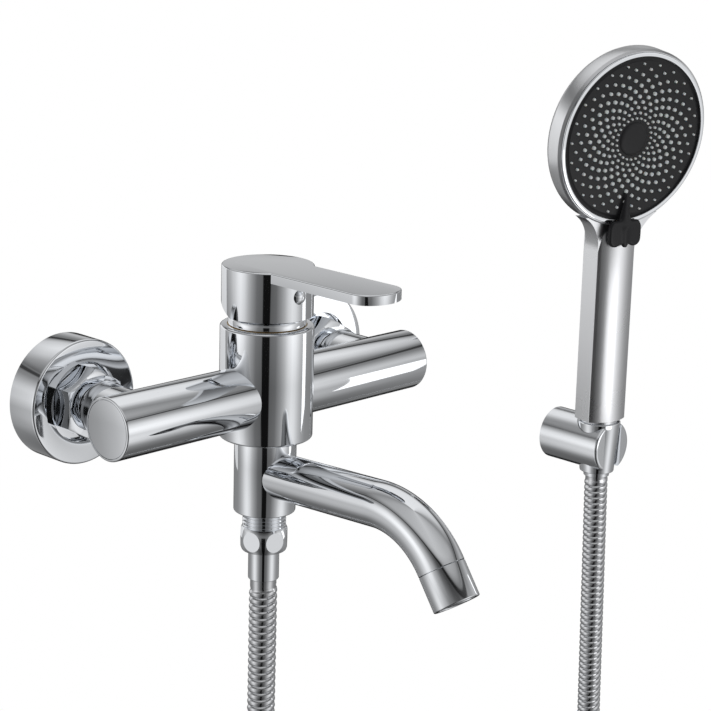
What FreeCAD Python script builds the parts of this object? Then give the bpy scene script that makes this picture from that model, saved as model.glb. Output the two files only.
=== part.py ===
"""Wall-held single-lever bath mixer with swivelling spout, ribbed hose, hand shower and wall bracket.

Units are millimetres. X runs along the wall, +Y goes into the wall, +Z is up. The origin lies on the
wall's face, midway between the two threaded wall ends of the eccentric unions. The hand shower is
drawn upright around its bracket's socket axis and is then turned and moved into the bracket.
"""
import FreeCAD
import Part
import math
import os

from FreeCAD import Placement, Rotation, Vector

# general fits
THREAD_GAP = 0.05  # radial gap of a screwed joint
SEAT_GAP = 0.1  # gap between faces that are pulled together
RUNNING_GAP = 0.05  # radial gap of a turning fit
MOVING_GAP = 0.3  # gap between faces that pass each other
PIECE_EDGE = 0.4  # small chamfer of turned pieces

# wall connections
INLET_SPACING = 150.0
WALL_TO_ARM_AXIS = 58.0
ARM_OVERHANG = 20.0  # how far an arm runs past its inlet
UNION_OFFSET = 6.5  # rise from the wall thread's axis to the arm's axis
WALL_THREAD_R = 10.45
WALL_THREAD_LENGTH = 18.0  # how far it reaches into the wall
WALL_THREAD_INNER = 7.0  # how far it reaches out of the wall
WALL_THREAD_BORE_R = 7.0
UNION_FLANGE_R = 18.5
UNION_FLANGE_END = 14.0
UNION_THREAD_R = 13.2
UNION_THREAD_END = 20.0
UNION_BORE_R = 9.0
WASHER_THICKNESS = 1.5

# escutcheons
ESCUTCHEON_R = 29.2
ESCUTCHEON_DEPTH = 17.2
ESCUTCHEON_WALL = 1.4
ESCUTCHEON_EDGE = 1.1
ESCUTCHEON_COLLAR_WALL = 1.6
ESCUTCHEON_COLLAR_DEPTH = 6.0

# union nuts and inlet tails
UNION_NUT_FLATS = 30.0
UNION_NUT_BACK = 14.6
UNION_NUT_LIP = 2.2
TAIL_FLANGE_THICKNESS = 1.8
TAIL_NECK_R = 9.5
TAIL_COLLAR_R = 12.9
TAIL_COLLAR_THICKNESS = 3.2
TAIL_THREAD_R = 9.0
TAIL_THREAD_LENGTH = 9.0
TAIL_BORE_R = 6.5
TAIL_FLANGE_INSET = 0.6  # how much smaller the flange is than the union's thread
WASHER_BORE_GAP = 1.0
INLET_BOSS_R = 12.2
INLET_BOSS_FRONT = 33.5  # distance of its face from the wall

# body casting
BARREL_R = 22.0
BARREL_TOP = 33.0
BARREL_BOTTOM = -21.0
BARREL_EDGE = 1.2
ARM_R = 14.6
ARM_HALF_LENGTH = INLET_SPACING / 2 + ARM_OVERHANG
ARM_EDGE = 0.8
ARM_BORE_R = 10.5
ARM_BORE_END = 30.0  # distance of the wide bore's inner end from the body's axis
ARM_CHANNEL_R = 5.0
ARM_CHANNEL_END = 5.5
PLUG_FACE_R = 13.3
PLUG_FACE_THICKNESS = 1.6
PLUG_THREAD_LENGTH = 7.0
PLUG_SOCKET_R = 6.0
PLUG_FLOOR = 3.6  # thickness of the plug in front of its key socket

# cartridge
CARTRIDGE_R = 17.5
CARTRIDGE_FLOOR = 8.0
CARTRIDGE_BASE_THICKNESS = 4.5
CARTRIDGE_WALL = 2.0
CARTRIDGE_TOP = 29.0
CARTRIDGE_LID = 2.6
CARTRIDGE_MOUTH_R = 10.0
PORT_R = 2.5
INLET_PORT_X = 5.5
INLET_PORT_Y = -5.0
OUTLET_PORT_Y = 4.2
SEAL_WIDTH = 1.2
SEAL_HEIGHT = 1.3
DISC_R = 13.5
FIXED_DISC_THICKNESS = 3.0
MOVING_DISC_R = 10.8
MOVING_DISC_THICKNESS = 2.4
MIXING_HOLLOW_R = 4.6
MIXING_HOLLOW_Y = 1.0
CARRIER_R = 10.8
CARRIER_THICKNESS = 3.8
CARRIER_SLOT_DEPTH = 3.2
ROTOR_FLANGE_R = 14.2
ROTOR_TOP = 30.6
ROTOR_SLOT_LENGTH = 15.0
PIVOT_HEIGHT = 27.0
PIN_R = 1.5
PIN_LENGTH = 17.0
STEM_WIDTH = 7.6
STEM_DEPTH = 8.0
STEM_FOOT = 24.6
STEM_TOP = 53.6
STEM_BALL_R = 2.3
STEM_NECK_R = 1.8
NUT_R = 18.6
NUT_BORE_R = 13.0
NUT_COLLAR_R = 16.8
NUT_COLLAR_HEIGHT = 2.4
BONNET_R = 18.2
BONNET_SHOULDER = 36.0
BONNET_TOP = 39.6
BONNET_MOUTH_R = 11.2
BONNET_WALL = 1.0
BONNET_BULGE_OUT = 1.2
BONNET_BULGE_UP = 0.8

# lever
CAP_R = 21.5
CAP_BOTTOM = 38.0
CAP_TOP = 61.2
CAP_WALL = 2.7
CAP_ROOF = 5.2
CAP_EDGE = 0.7
CAP_RELIEF_START = 2.0
CAP_RELIEF_ANGLE = 26.0
BOSS_R = 8.6
BOSS_BOTTOM = 46.0
PADDLE_LENGTH = 78.5
PADDLE_WIDTH = 27.4
PADDLE_THICKNESS = 4.6
PADDLE_CORNER_R = 9.5
PADDLE_END_R = 17.0
SCREW_HEIGHT = 49.3
GRUB_SCREW_R = 2.5
GRUB_SCREW_LENGTH = 4.4
GRUB_KEY_R = 1.2
GRUB_KEY_FLOOR = 1.8
COVER_HOLE_R = 3.2
COVER_HEAD_R = 3.5
COVER_HEAD_RISE = 1.55

# outlet core and spout
CORE_R = 11.7
CORE_THREAD_R = 10.6
CORE_THREAD_LENGTH = 10.0
CORE_CHAMBER_R = 9.5
CORE_CHAMBER_DEPTH = 13.0
CORE_BORE_R = 7.0
CORE_BOTTOM = -53.5
CORE_PORT_R = 4.5
SLEEVE_R = 14.7
SLEEVE_BOTTOM = -57.7
SLEEVE_RECESS_R = 13.4
SLEEVE_RECESS_DEPTH = 3.6
SLEEVE_EDGE = 0.8
O_RING_R = 1.0
O_RING_HEIGHTS = (-26.5, -52.0)
GLIDE_RING_THICKNESS = 0.8
SPOUT_ROOT_HEIGHT = -39.2
SPOUT_RISE_ANGLE = 2.5
SPOUT_STRAIGHT = 74.5
SPOUT_BEND_R = 45.0
SPOUT_FALL_ANGLE = 55.0
SPOUT_END_LENGTH = 18.0
SPOUT_TUBE_R = 10.9
SPOUT_WALL = 1.8
AERATOR_LENGTH = 17.2
AERATOR_EDGE = 0.5
AERATOR_WALL = 2.2
AERATOR_SPIGOT_R = 9.35
AERATOR_SPIGOT_LENGTH = 5.0
AERATOR_SHOULDER = 1.4
INSERT_LENGTH = 9.0
INSERT_SETBACK = 1.6
INSERT_LIP = 1.2
INSERT_HOLE_R = 0.8
INSERT_INNER_HOLES = 6
INSERT_OUTER_HOLES = 12
INSERT_INNER_R = 3.0
INSERT_OUTER_R = 6.0
AERATOR_WASHER_THICKNESS = 1.0
AERATOR_WASHER_WIDTH = 2.4
SEAM_GAP = 0.25

# hose and its fittings
NIPPLE_FLANGE_R = 13.1
NIPPLE_FLANGE_THICKNESS = 2.4
NIPPLE_R = 10.4
NIPPLE_EDGE = 0.6
NIPPLE_END = -73.0
NIPPLE_BORE_R = 5.5
NIPPLE_SCREW_R = 8.4
NIPPLE_SCREW_LENGTH = 8.0
NIPPLE_SHOULDER_R = 11.0
HOSE_NUT_FLATS = 22.0
HOSE_NUT_R = 11.9
HOSE_NUT_RIM_R = 10.9
HOSE_NUT_TOP = -65.4
HOSE_NUT_LIP = 1.6
HOSE_NUT_TURN = 14.5
HOSE_WASHER_THICKNESS = 1.4
FERRULE_R = 7.4
FERRULE_FLANGE_R = 9.4
FERRULE_FLANGE_THICKNESS = 1.2
FERRULE_BOTTOM = -92.0
HOSE_R = 6.75
HOSE_VALLEY_R = 6.25
HOSE_BORE_R = 4.0
HOSE_RIBS = 198
HOSE_NODE_STRAIGHT = 13.5

# wall bracket
BRACKET_X = 289.0
BRACKET_Z = -82.5
BRACKET_R = 15.0
BRACKET_LENGTH = 42.0
BRACKET_EDGE = 1.8
SOCKET_OUT = 31.5  # distance of the socket's axis from the wall
SOCKET_GAP = 0.3
BRACKET_SLOT_WIDTH = 14.8
BRACKET_CAVITY_R = 12.0
BRACKET_CAVITY_DEPTH = 13.0
BASE_THICKNESS = 9.0
BASE_HOLE_R = 2.3
BASE_COUNTERSINK_R = 4.5
BASE_COUNTERSINK_DEPTH = 2.6
LOCK_SCREW_R = 2.0
LOCK_SCREW_OUT = 5.0
LOCK_SCREW_TIP = -9.8
LOCK_SCREW_INSET = 0.8
LOCK_KEY_R = 1.0
LOCK_KEY_DEPTH = 1.6

# hand shower: heights from the bracket's axis, along the handle
HAND_TURN = -14.0
CONE_TOP = 14.2
CONE_BOTTOM = -16.0
CONE_TOP_R = 12.3
CONE_BOTTOM_R = 9.8
CONE_STEP = 1.2
FERRULE_HAND_BOTTOM = -19.0
HAND_NIPPLE_BOTTOM = 5.0
HANDLE_BOTTOM = 15.8
HANDLE_HALF_WIDTH = 13.0
HANDLE_HALF_SIDE = 6.5
HANDLE_FRONT = -11.0
HANDLE_BACK = 10.5
HANDLE_ARRIS = 0.8
SPINE_HALF_WIDTH = 8.0
SPINE_HALF_SIDE = 1.0
SPINE_FRONT = -4.0
SPINE_BACK = 1.6
WATER_R = 4.0
WATER_Y = 2.0
INLET_SLEEVE_R = 9.6
INLET_SLEEVE_LENGTH = 10.0
NECK_FILLET_R = 24.0

# head of the hand shower: depths behind the face
HEAD_HEIGHT = 180.0
HEAD_FORWARD = 16.5
HEAD_TILT = 7.5
HEAD_R = 50.5
HANDLE_TOP = HEAD_HEIGHT - 56.0
SPINE_TOP = HEAD_HEIGHT - 17.0
WATER_TOP = HEAD_HEIGHT - 43.0
HEAD_FRONT = 0.4
HEAD_EDGE = 1.2
HEAD_BAND_DEPTH = 10.0
HEAD_SHOULDER_R = HEAD_R - 9.0
HEAD_SHOULDER_DEPTH = 16.0
HEAD_DEPTH = 19.5
HEAD_WALL = 2.4
HEAD_SIDE_WALL = 5.2
HEAD_INNER_R = HEAD_R - HEAD_SIDE_WALL
RIM_R = HEAD_R - 1.6
RIM_WIDTH = 2.4
RIM_RISE = 0.5
RIM_EDGE = 0.4
RIM_DEPTH = 1.6
FACE_R = RIM_R - RIM_WIDTH
FACE_FRONT = 0.2
FACE_BACK = 2.2
FACE_HOLE_GAP = 0.15
MAT_R = HEAD_INNER_R - 0.2
MAT_BACK = 3.6
FACE_SEAT = MAT_BACK + 0.4
NOZZLE_RISE = 0.9
NOZZLE_ARMS = 24
NOZZLE_RINGS = 11
NOZZLE_FIRST_R = 11.8
FACE_BORDER = 4.0  # bare edge of the face, outside the last nozzles' middles
NOZZLE_LAST_R = FACE_R - FACE_BORDER
NOZZLE_TWIST = 7.5
NOZZLE_SMALL_R = 0.75
NOZZLE_LARGE_R = 1.3
NOZZLE_TAPER = 0.8
CENTRE_R = 9.6
CENTRE_RISE = 0.7
CENTRE_POCKET = 1.2
CENTRE_SLOPE = 2.6
CENTRE_BEND = 1.1
FACE_SCREW_R = 1.6
FACE_SCREW_HEAD_R = 3.2
FACE_SCREW_HEAD_HEIGHT = 1.05
FACE_SCREW_END = 14.2
SCREW_BOSS_R = 4.2
SWITCH_DISC_R = 30.0
SWITCH_FRONT = 3.9
SWITCH_BACK = 5.7
PORT_RING_R = 24.0
SWITCH_PORT_R = 2.0
SWITCH_PORT_COUNT = 6
ARM_HALF_WIDTH = 1.8
ARM_REACH = HEAD_R + 3.6
WATER_PLATE_R = HEAD_INNER_R - 1.2
WATER_PLATE_FRONT = 6.0
WATER_PLATE_BACK = 8.5
WATER_PLATE_RIM = 2.0
WATER_PORT_R = 1.6
WATER_INNER_COUNT = 8
WATER_OUTER_COUNT = 12
OUTER_PORT_RING_R = 38.0
FACE_SEAL_DEPTH = 7.2

# spray selector
SELECTOR_SWING = 5.0  # degrees either way
SELECTOR_GAP = 0.5
SLOT_END_GAP = 0.4
SLOT_HALF_WIDTH = ARM_REACH * math.sin(math.radians(SELECTOR_SWING)) + ARM_HALF_WIDTH + SLOT_END_GAP
SLOT_BOTTOM = -ARM_REACH - SLOT_END_GAP
FINGER_HEIGHT = 2.4
FINGER_TOP = FINGER_HEIGHT - ARM_REACH
FINGER_FRONT = -2.8
SLOT_TOP = FINGER_TOP + 1.2
PAD_TOP = HEAD_HEIGHT - 46.0
PAD_HEIGHT = 15.4
PAD_BOTTOM = PAD_TOP - PAD_HEIGHT
PAD_HALF_WIDTH = 11.2
PAD_THICKNESS = 3.0
PAD_EDGE = 0.7
PAD_SHOULDER = 3.4  # height over which the pad widens from its top
PAD_TOP_INSET = 2.2
PAD_LOBE_R = 4.6
PAD_NOTCH = 2.2
FIN_LENGTH = 19.0
FIN_FOOT = 1.0 - HEAD_R
FIN_TOP = FIN_FOOT + FIN_LENGTH
FIN_TOP_SIZE = (1.4, -1.8, -1.2)  # half width, front and back
FIN_FOOT_SIZE = (5.2, -4.7, -1.5)
RIDGE_LENGTH = 12.0
RIDGE_TOP_SIZE = (5.2, -5.2, -3.0)
RIDGE_FOOT_SIZE = (1.8, -6.7, -4.6)

UP = Vector(0, 0, 1)
OUT = Vector(0, -1, 0)
RIGHT = Vector(1, 0, 0)
BODY_AXIS = Vector(0, -WALL_TO_ARM_AXIS, UNION_OFFSET)
SOCKET = Vector(BRACKET_X, -SOCKET_OUT, BRACKET_Z)


def on_body(height):
    """A point on the body's upright axis, at a height from the arms' axis."""
    return BODY_AXIS + Vector(0, 0, height)


def lathe(profile, at=Vector(), along=UP):
    """Turn a closed profile of (radius, height) points; a point of four numbers ends an arc."""
    edges = []
    last = Vector(profile[0][0], 0, profile[0][1])
    for point in list(profile[1:]) + [profile[0][:2]]:
        end = Vector(point[-2], 0, point[-1])
        if len(point) == 4:
            edges.append(Part.Arc(last, Vector(point[0], 0, point[1]), end).toShape())
        elif last.distanceToPoint(end) > 1e-7:
            edges.append(Part.makeLine(last, end))
        last = end
    solid = Part.Face(Part.Wire(edges)).revolve(Vector(), UP, 360)
    solid.Placement = Placement(at, Rotation(UP, along))
    return solid


def rod(radius, length, at=Vector(), along=UP):
    return Part.makeCylinder(radius, length, at, along)


def ring(outer, inner, length, at=Vector(), along=UP):
    return lathe([(inner, 0), (outer, 0), (outer, length), (inner, length)], at, along)


def block(low, high):
    size = Vector(*high) - Vector(*low)
    return Part.makeBox(size.x, size.y, size.z, Vector(*low))


def hexagon(flats, length, at, along=UP, turn=0.0, chamfer=0.9):
    """A nut blank, its corners turned down to a cone at both ends."""
    corner = flats / math.sqrt(3)
    angles = [math.radians(60 * k + turn) for k in range(7)]
    points = [Vector(corner * math.cos(a), corner * math.sin(a), 0) for a in angles]
    prism = Part.Face(Part.makePolygon(points)).extrude(Vector(0, 0, length))
    edge = flats / 2 - SEAT_GAP
    blank = lathe([
        (0, 0), (edge, 0), (corner, chamfer), (corner, length - chamfer), (edge, length), (0, length),
    ])
    nut = prism.common(blank)
    nut.Placement = Placement(at, Rotation(UP, along))
    return nut


def rounded(shape, radius, picked):
    """Fillet the edges for which picked(edge) is true."""
    return shape.makeFillet(radius, [e for e in shape.Edges if picked(e)])


def circle_at(edge, radius, position=None, axis=None):
    """Whether an edge is a full circle of this radius, at this place along an axis."""
    if not isinstance(edge.Curve, Part.Circle) or abs(edge.Curve.Radius - radius) > 1e-4:
        return False
    return position is None or abs(getattr(edge.Curve.Center, axis) - position) < 1e-4


# wall connections

def side_x(side):
    return side * INLET_SPACING / 2


def eccentric_union(side):
    """Wall thread below, union thread above, joined by the round flange that carries the escutcheon."""
    low = Vector(side_x(side), 0, 0)
    high = Vector(side_x(side), 0, UNION_OFFSET)
    wall_end = low + Vector(0, WALL_THREAD_LENGTH, 0)
    stub = rod(WALL_THREAD_R, WALL_THREAD_LENGTH + WALL_THREAD_INNER, wall_end, OUT)
    flange = rod(UNION_FLANGE_R, UNION_FLANGE_END - WALL_THREAD_INNER, high + OUT * WALL_THREAD_INNER, OUT)
    thread = rod(UNION_THREAD_R, UNION_THREAD_END - UNION_FLANGE_END, high + OUT * UNION_FLANGE_END, OUT)
    bore_length = UNION_THREAD_END - WALL_THREAD_INNER - ESCUTCHEON_WALL
    bore = rod(UNION_BORE_R, bore_length, high + OUT * UNION_THREAD_END, -OUT)
    wall_bore_length = WALL_THREAD_LENGTH + WALL_THREAD_INNER + 2 * ESCUTCHEON_WALL
    wall_bore = rod(WALL_THREAD_BORE_R, wall_bore_length, wall_end, OUT)
    return stub.fuse([flange, thread]).cut([bore, wall_bore])


def escutcheon(side):
    """A round cup against the wall, its front hole's collar screwed over the union's flange."""
    hole = UNION_FLANGE_R + SEAT_GAP
    collar = hole + ESCUTCHEON_COLLAR_WALL
    edge = ESCUTCHEON_EDGE
    inner = ESCUTCHEON_R - ESCUTCHEON_WALL
    front = ESCUTCHEON_DEPTH
    arc_middle = edge * (1 - math.sqrt(0.5))
    profile = [
        (inner, 0), (ESCUTCHEON_R, 0), (ESCUTCHEON_R, front - edge),
        (ESCUTCHEON_R - arc_middle, front - arc_middle, ESCUTCHEON_R - edge, front),
        (hole, front), (hole, front - ESCUTCHEON_COLLAR_DEPTH), (collar, front - ESCUTCHEON_COLLAR_DEPTH),
        (collar, front - ESCUTCHEON_WALL), (inner, front - ESCUTCHEON_WALL),
    ]
    return lathe(profile, Vector(side_x(side), 0, UNION_OFFSET), OUT)


def on_union(side, out):
    """A point on the union's axis at a distance from the wall."""
    return Vector(side_x(side), -out, UNION_OFFSET)


TAIL_FLANGE_BACK = UNION_THREAD_END + WASHER_THICKNESS
TAIL_FLANGE_R = UNION_THREAD_R - TAIL_FLANGE_INSET
UNION_NUT_FRONT = TAIL_FLANGE_BACK + TAIL_FLANGE_THICKNESS + SEAT_GAP + UNION_NUT_LIP


def union_nut(side):
    length = UNION_NUT_FRONT - UNION_NUT_BACK
    nut = hexagon(UNION_NUT_FLATS, length, on_union(side, UNION_NUT_BACK), OUT, turn=0.0)
    thread = rod(UNION_THREAD_R + THREAD_GAP, length - UNION_NUT_LIP, on_union(side, UNION_NUT_BACK), OUT)
    mouth = rod(TAIL_NECK_R + MOVING_GAP, length, on_union(side, UNION_NUT_BACK), OUT)
    return nut.cut([thread, mouth])


def union_washers():
    inner = TAIL_BORE_R + WASHER_BORE_GAP
    return Part.makeCompound([
        ring(TAIL_FLANGE_R, inner, WASHER_THICKNESS, on_union(side, UNION_THREAD_END), OUT) for side in (-1, 1)
    ])


def inlet_tail(side):
    """Flange inside the union nut, a round collar against the boss and a thread into the arm."""
    flange_end = TAIL_FLANGE_THICKNESS
    collar_end = INLET_BOSS_FRONT - TAIL_FLANGE_BACK
    collar_start = collar_end - TAIL_COLLAR_THICKNESS
    thread_end = collar_end + TAIL_THREAD_LENGTH
    profile = [
        (TAIL_BORE_R, 0), (TAIL_FLANGE_R, 0), (TAIL_FLANGE_R, flange_end), (TAIL_NECK_R, flange_end),
        (TAIL_NECK_R, collar_start), (TAIL_COLLAR_R - PIECE_EDGE, collar_start),
        (TAIL_COLLAR_R, collar_start + PIECE_EDGE),
        (TAIL_COLLAR_R, collar_end), (TAIL_THREAD_R, collar_end), (TAIL_THREAD_R, thread_end),
        (TAIL_BORE_R, thread_end),
    ]
    return lathe(profile, on_union(side, TAIL_FLANGE_BACK), OUT)


# body casting

def body_casting():
    """Upright barrel with two arms, the cartridge's seat above and the spout core's thread below."""
    barrel_height = BARREL_TOP - BARREL_BOTTOM
    barrel = rod(BARREL_R, barrel_height, on_body(BARREL_BOTTOM))
    barrel = rounded(barrel, BARREL_EDGE, lambda e: circle_at(e, BARREL_R))
    arms = rod(ARM_R, 2 * ARM_HALF_LENGTH, BODY_AXIS - RIGHT * ARM_HALF_LENGTH, RIGHT)
    arms = rounded(arms, ARM_EDGE, lambda e: circle_at(e, ARM_R))
    bosses = [
        rod(INLET_BOSS_R, WALL_TO_ARM_AXIS - INLET_BOSS_FRONT, on_union(side, INLET_BOSS_FRONT), OUT)
        for side in (-1, 1)
    ]
    body = barrel.fuse([arms] + bosses)
    cuts = [
        rod(CARTRIDGE_R + SEAT_GAP, BARREL_TOP - CARTRIDGE_FLOOR, on_body(CARTRIDGE_FLOOR)),
        rod(NUT_R + THREAD_GAP, BARREL_TOP - CARTRIDGE_TOP + SEAT_GAP, on_body(CARTRIDGE_TOP - SEAT_GAP)),
        rod(CORE_THREAD_R + THREAD_GAP, CORE_THREAD_LENGTH, on_body(BARREL_BOTTOM)),
        rod(CORE_CHAMBER_R, CORE_CHAMBER_DEPTH, on_body(BARREL_BOTTOM)),
        rod(PORT_R, CARTRIDGE_FLOOR - BARREL_BOTTOM, on_body(BARREL_BOTTOM) + Vector(0, OUTLET_PORT_Y, 0)),
    ]
    for side in (-1, 1):
        end = BODY_AXIS + RIGHT * side * ARM_HALF_LENGTH
        inward = RIGHT * -side
        cuts += [
            rod(ARM_BORE_R, ARM_HALF_LENGTH - ARM_BORE_END, end, inward),
            rod(ARM_CHANNEL_R, ARM_HALF_LENGTH - ARM_CHANNEL_END, end, inward),
            rod(PLUG_FACE_R + SEAT_GAP, PLUG_FACE_THICKNESS, end, inward),
            rod(PORT_R, CARTRIDGE_FLOOR, BODY_AXIS + Vector(side * INLET_PORT_X, INLET_PORT_Y, 0)),
            rod(TAIL_THREAD_R + THREAD_GAP, WALL_TO_ARM_AXIS - INLET_BOSS_FRONT,
                on_union(side, INLET_BOSS_FRONT), OUT),
        ]
    return body.cut(cuts)


def arm_plug(side):
    """Flush disc that closes an arm, with its thread behind and a key socket inside."""
    thread_end = PLUG_FACE_THICKNESS + PLUG_THREAD_LENGTH
    thread_r = ARM_BORE_R - THREAD_GAP
    profile = [
        (0, 0), (PLUG_FACE_R - PIECE_EDGE, 0), (PLUG_FACE_R, PIECE_EDGE), (PLUG_FACE_R, PLUG_FACE_THICKNESS),
        (thread_r, PLUG_FACE_THICKNESS), (thread_r, thread_end), (PLUG_SOCKET_R, thread_end),
        (PLUG_SOCKET_R, PLUG_FLOOR), (0, PLUG_FLOOR),
    ]
    return lathe(profile, BODY_AXIS + RIGHT * side * ARM_HALF_LENGTH, RIGHT * -side)


# cartridge

DISC_BOTTOM = CARTRIDGE_FLOOR + CARTRIDGE_BASE_THICKNESS
MOVING_DISC_BOTTOM = DISC_BOTTOM + FIXED_DISC_THICKNESS + RUNNING_GAP
CARRIER_BOTTOM = MOVING_DISC_BOTTOM + MOVING_DISC_THICKNESS
CARRIER_TOP = CARRIER_BOTTOM + CARRIER_THICKNESS
BALL_HEIGHT = CARRIER_TOP - CARRIER_SLOT_DEPTH + STEM_BALL_R + 0.4
ROTOR_BOTTOM = CARRIER_TOP + MOVING_GAP
ROTOR_FLANGE_TOP = CARTRIDGE_TOP - CARTRIDGE_LID - MOVING_GAP


def port_places():
    """The two inlet ports and the outlet port in the cartridge's floor."""
    return [
        Vector(-INLET_PORT_X, INLET_PORT_Y, 0), Vector(INLET_PORT_X, INLET_PORT_Y, 0),
        Vector(0, OUTLET_PORT_Y, 0),
    ]


def cartridge_base():
    base = rod(CARTRIDGE_R, CARTRIDGE_BASE_THICKNESS, on_body(CARTRIDGE_FLOOR))
    cuts = [rod(PORT_R, CARTRIDGE_BASE_THICKNESS, on_body(CARTRIDGE_FLOOR) + p) for p in port_places()]
    cuts += [rod(PORT_R + SEAL_WIDTH, SEAL_HEIGHT, on_body(CARTRIDGE_FLOOR) + p) for p in port_places()]
    return base.cut(cuts)


def cartridge_seals():
    height = SEAL_HEIGHT - SEAT_GAP
    return Part.makeCompound([
        ring(PORT_R + SEAL_WIDTH - SEAT_GAP, PORT_R, height, on_body(CARTRIDGE_FLOOR) + p) for p in port_places()
    ])


def fixed_disc():
    disc = rod(DISC_R, FIXED_DISC_THICKNESS, on_body(DISC_BOTTOM))
    return disc.cut([rod(PORT_R, FIXED_DISC_THICKNESS, on_body(DISC_BOTTOM) + p) for p in port_places()])


def moving_disc():
    """Ceramic disc whose hollow underside joins the inlets to the outlet."""
    disc = rod(MOVING_DISC_R, MOVING_DISC_THICKNESS, on_body(MOVING_DISC_BOTTOM))
    place = on_body(MOVING_DISC_BOTTOM) + Vector(0, MIXING_HOLLOW_Y, 0)
    return disc.cut(rod(MIXING_HOLLOW_R, MOVING_DISC_THICKNESS / 2, place))


def disc_carrier():
    carrier = rod(CARRIER_R, CARRIER_THICKNESS, on_body(CARRIER_BOTTOM))
    half = STEM_BALL_R + MOVING_GAP
    centre = on_body(CARRIER_TOP)
    slot = block((centre.x - half, centre.y - half, centre.z - CARRIER_SLOT_DEPTH),
                 (centre.x + half, centre.y + half, centre.z))
    return carrier.cut(slot)


def cartridge_housing():
    """Plastic cup, open below, whose lid keeps the rotor's flange in."""
    inner = CARTRIDGE_R - CARTRIDGE_WALL
    profile = [
        (inner, DISC_BOTTOM), (CARTRIDGE_R, DISC_BOTTOM), (CARTRIDGE_R, CARTRIDGE_TOP),
        (CARTRIDGE_MOUTH_R, CARTRIDGE_TOP), (CARTRIDGE_MOUTH_R, CARTRIDGE_TOP - CARTRIDGE_LID),
        (inner, CARTRIDGE_TOP - CARTRIDGE_LID),
    ]
    return lathe(profile, BODY_AXIS)


def stem_rotor():
    """Turns in the lid; the stem rocks in its slot on the pin."""
    rotor_r = CARTRIDGE_MOUTH_R - RUNNING_GAP
    profile = [
        (0, ROTOR_BOTTOM), (ROTOR_FLANGE_R, ROTOR_BOTTOM), (ROTOR_FLANGE_R, ROTOR_FLANGE_TOP),
        (rotor_r, ROTOR_FLANGE_TOP), (rotor_r, ROTOR_TOP), (0, ROTOR_TOP),
    ]
    half_width = STEM_WIDTH / 2 + MOVING_GAP
    half_length = ROTOR_SLOT_LENGTH / 2
    slot = block((-half_width, -half_length, ROTOR_BOTTOM), (half_width, half_length, ROTOR_TOP))
    slot.translate(BODY_AXIS)
    pin = rod(PIN_R, PIN_LENGTH, on_body(PIVOT_HEIGHT) - RIGHT * PIN_LENGTH / 2, RIGHT)
    return lathe(profile, BODY_AXIS).cut([slot, pin])


def stem_pin():
    return rod(PIN_R, PIN_LENGTH, on_body(PIVOT_HEIGHT) - RIGHT * PIN_LENGTH / 2, RIGHT)


def lever_stem():
    """Square bar on the pin, with a ball below that pushes the disc carrier."""
    bar = block((-STEM_WIDTH / 2, -STEM_DEPTH / 2, STEM_FOOT), (STEM_WIDTH / 2, STEM_DEPTH / 2, STEM_TOP))
    neck = rod(STEM_NECK_R, STEM_FOOT - BALL_HEIGHT, Vector(0, 0, BALL_HEIGHT))
    ball = Part.makeSphere(STEM_BALL_R, Vector(0, 0, BALL_HEIGHT))
    hole = rod(PIN_R + RUNNING_GAP, STEM_WIDTH, Vector(-STEM_WIDTH / 2, 0, PIVOT_HEIGHT), RIGHT)
    stem = bar.fuse([neck, ball]).cut(hole)
    stem.translate(BODY_AXIS)
    return stem


def cartridge_nut():
    """Ring nut that holds the cartridge down, with a collar that carries the bonnet."""
    collar_top = BARREL_TOP + NUT_COLLAR_HEIGHT
    profile = [
        (NUT_BORE_R, CARTRIDGE_TOP), (NUT_R, CARTRIDGE_TOP), (NUT_R, BARREL_TOP),
        (NUT_COLLAR_R, BARREL_TOP), (NUT_COLLAR_R, collar_top), (NUT_BORE_R, collar_top),
    ]
    return lathe(profile, BODY_AXIS)


def bonnet():
    """Polished dome ring over the nut, seen in the gap under the lever."""
    foot = BARREL_TOP + SEAT_GAP
    bend = (BONNET_R + BONNET_MOUTH_R) / 2 + BONNET_BULGE_OUT
    bend_height = (BONNET_SHOULDER + BONNET_TOP) / 2 + BONNET_BULGE_UP
    inner = NUT_COLLAR_R + THREAD_GAP
    profile = [
        (inner, foot), (BONNET_R, foot), (BONNET_R, BONNET_SHOULDER),
        (bend, bend_height, BONNET_MOUTH_R, BONNET_TOP), (BONNET_MOUTH_R, BONNET_TOP - BONNET_WALL),
        (bend - BONNET_WALL, bend_height - BONNET_WALL, inner, BONNET_SHOULDER - BONNET_WALL / 2),
    ]
    return lathe(profile, BODY_AXIS)


# lever

def paddle_outline():
    """Outline of the lever's plate, from the cap's middle to its round end, whose arcs run into each other."""
    half = PADDLE_WIDTH / 2
    corner = PADDLE_CORNER_R
    aside = half - corner
    back = math.sqrt((PADDLE_END_R - corner) ** 2 - aside ** 2)
    shoulder = PADDLE_END_R - back - PADDLE_LENGTH
    touch = math.atan2(back, aside)

    def on_corner(side, angle):
        return Vector(side * (aside + corner * math.cos(angle)), shoulder - corner * math.sin(angle), 0)

    edges = []
    for side in (1, -1):
        arc = Part.Arc(on_corner(side, 0), on_corner(side, touch / 2), on_corner(side, touch))
        edges.append(arc.toShape())
        edges.append(Part.makeLine(Vector(side * half, 0, 0), on_corner(side, 0)))
    end = Part.Arc(on_corner(-1, touch), Vector(0, -PADDLE_LENGTH, 0), on_corner(1, touch))
    edges.append(end.toShape())
    edges.append(Part.makeLine(Vector(-half, 0, 0), Vector(half, 0, 0)))
    return Part.Face(Part.Wire(Part.__sortEdges__(edges)))


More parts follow.
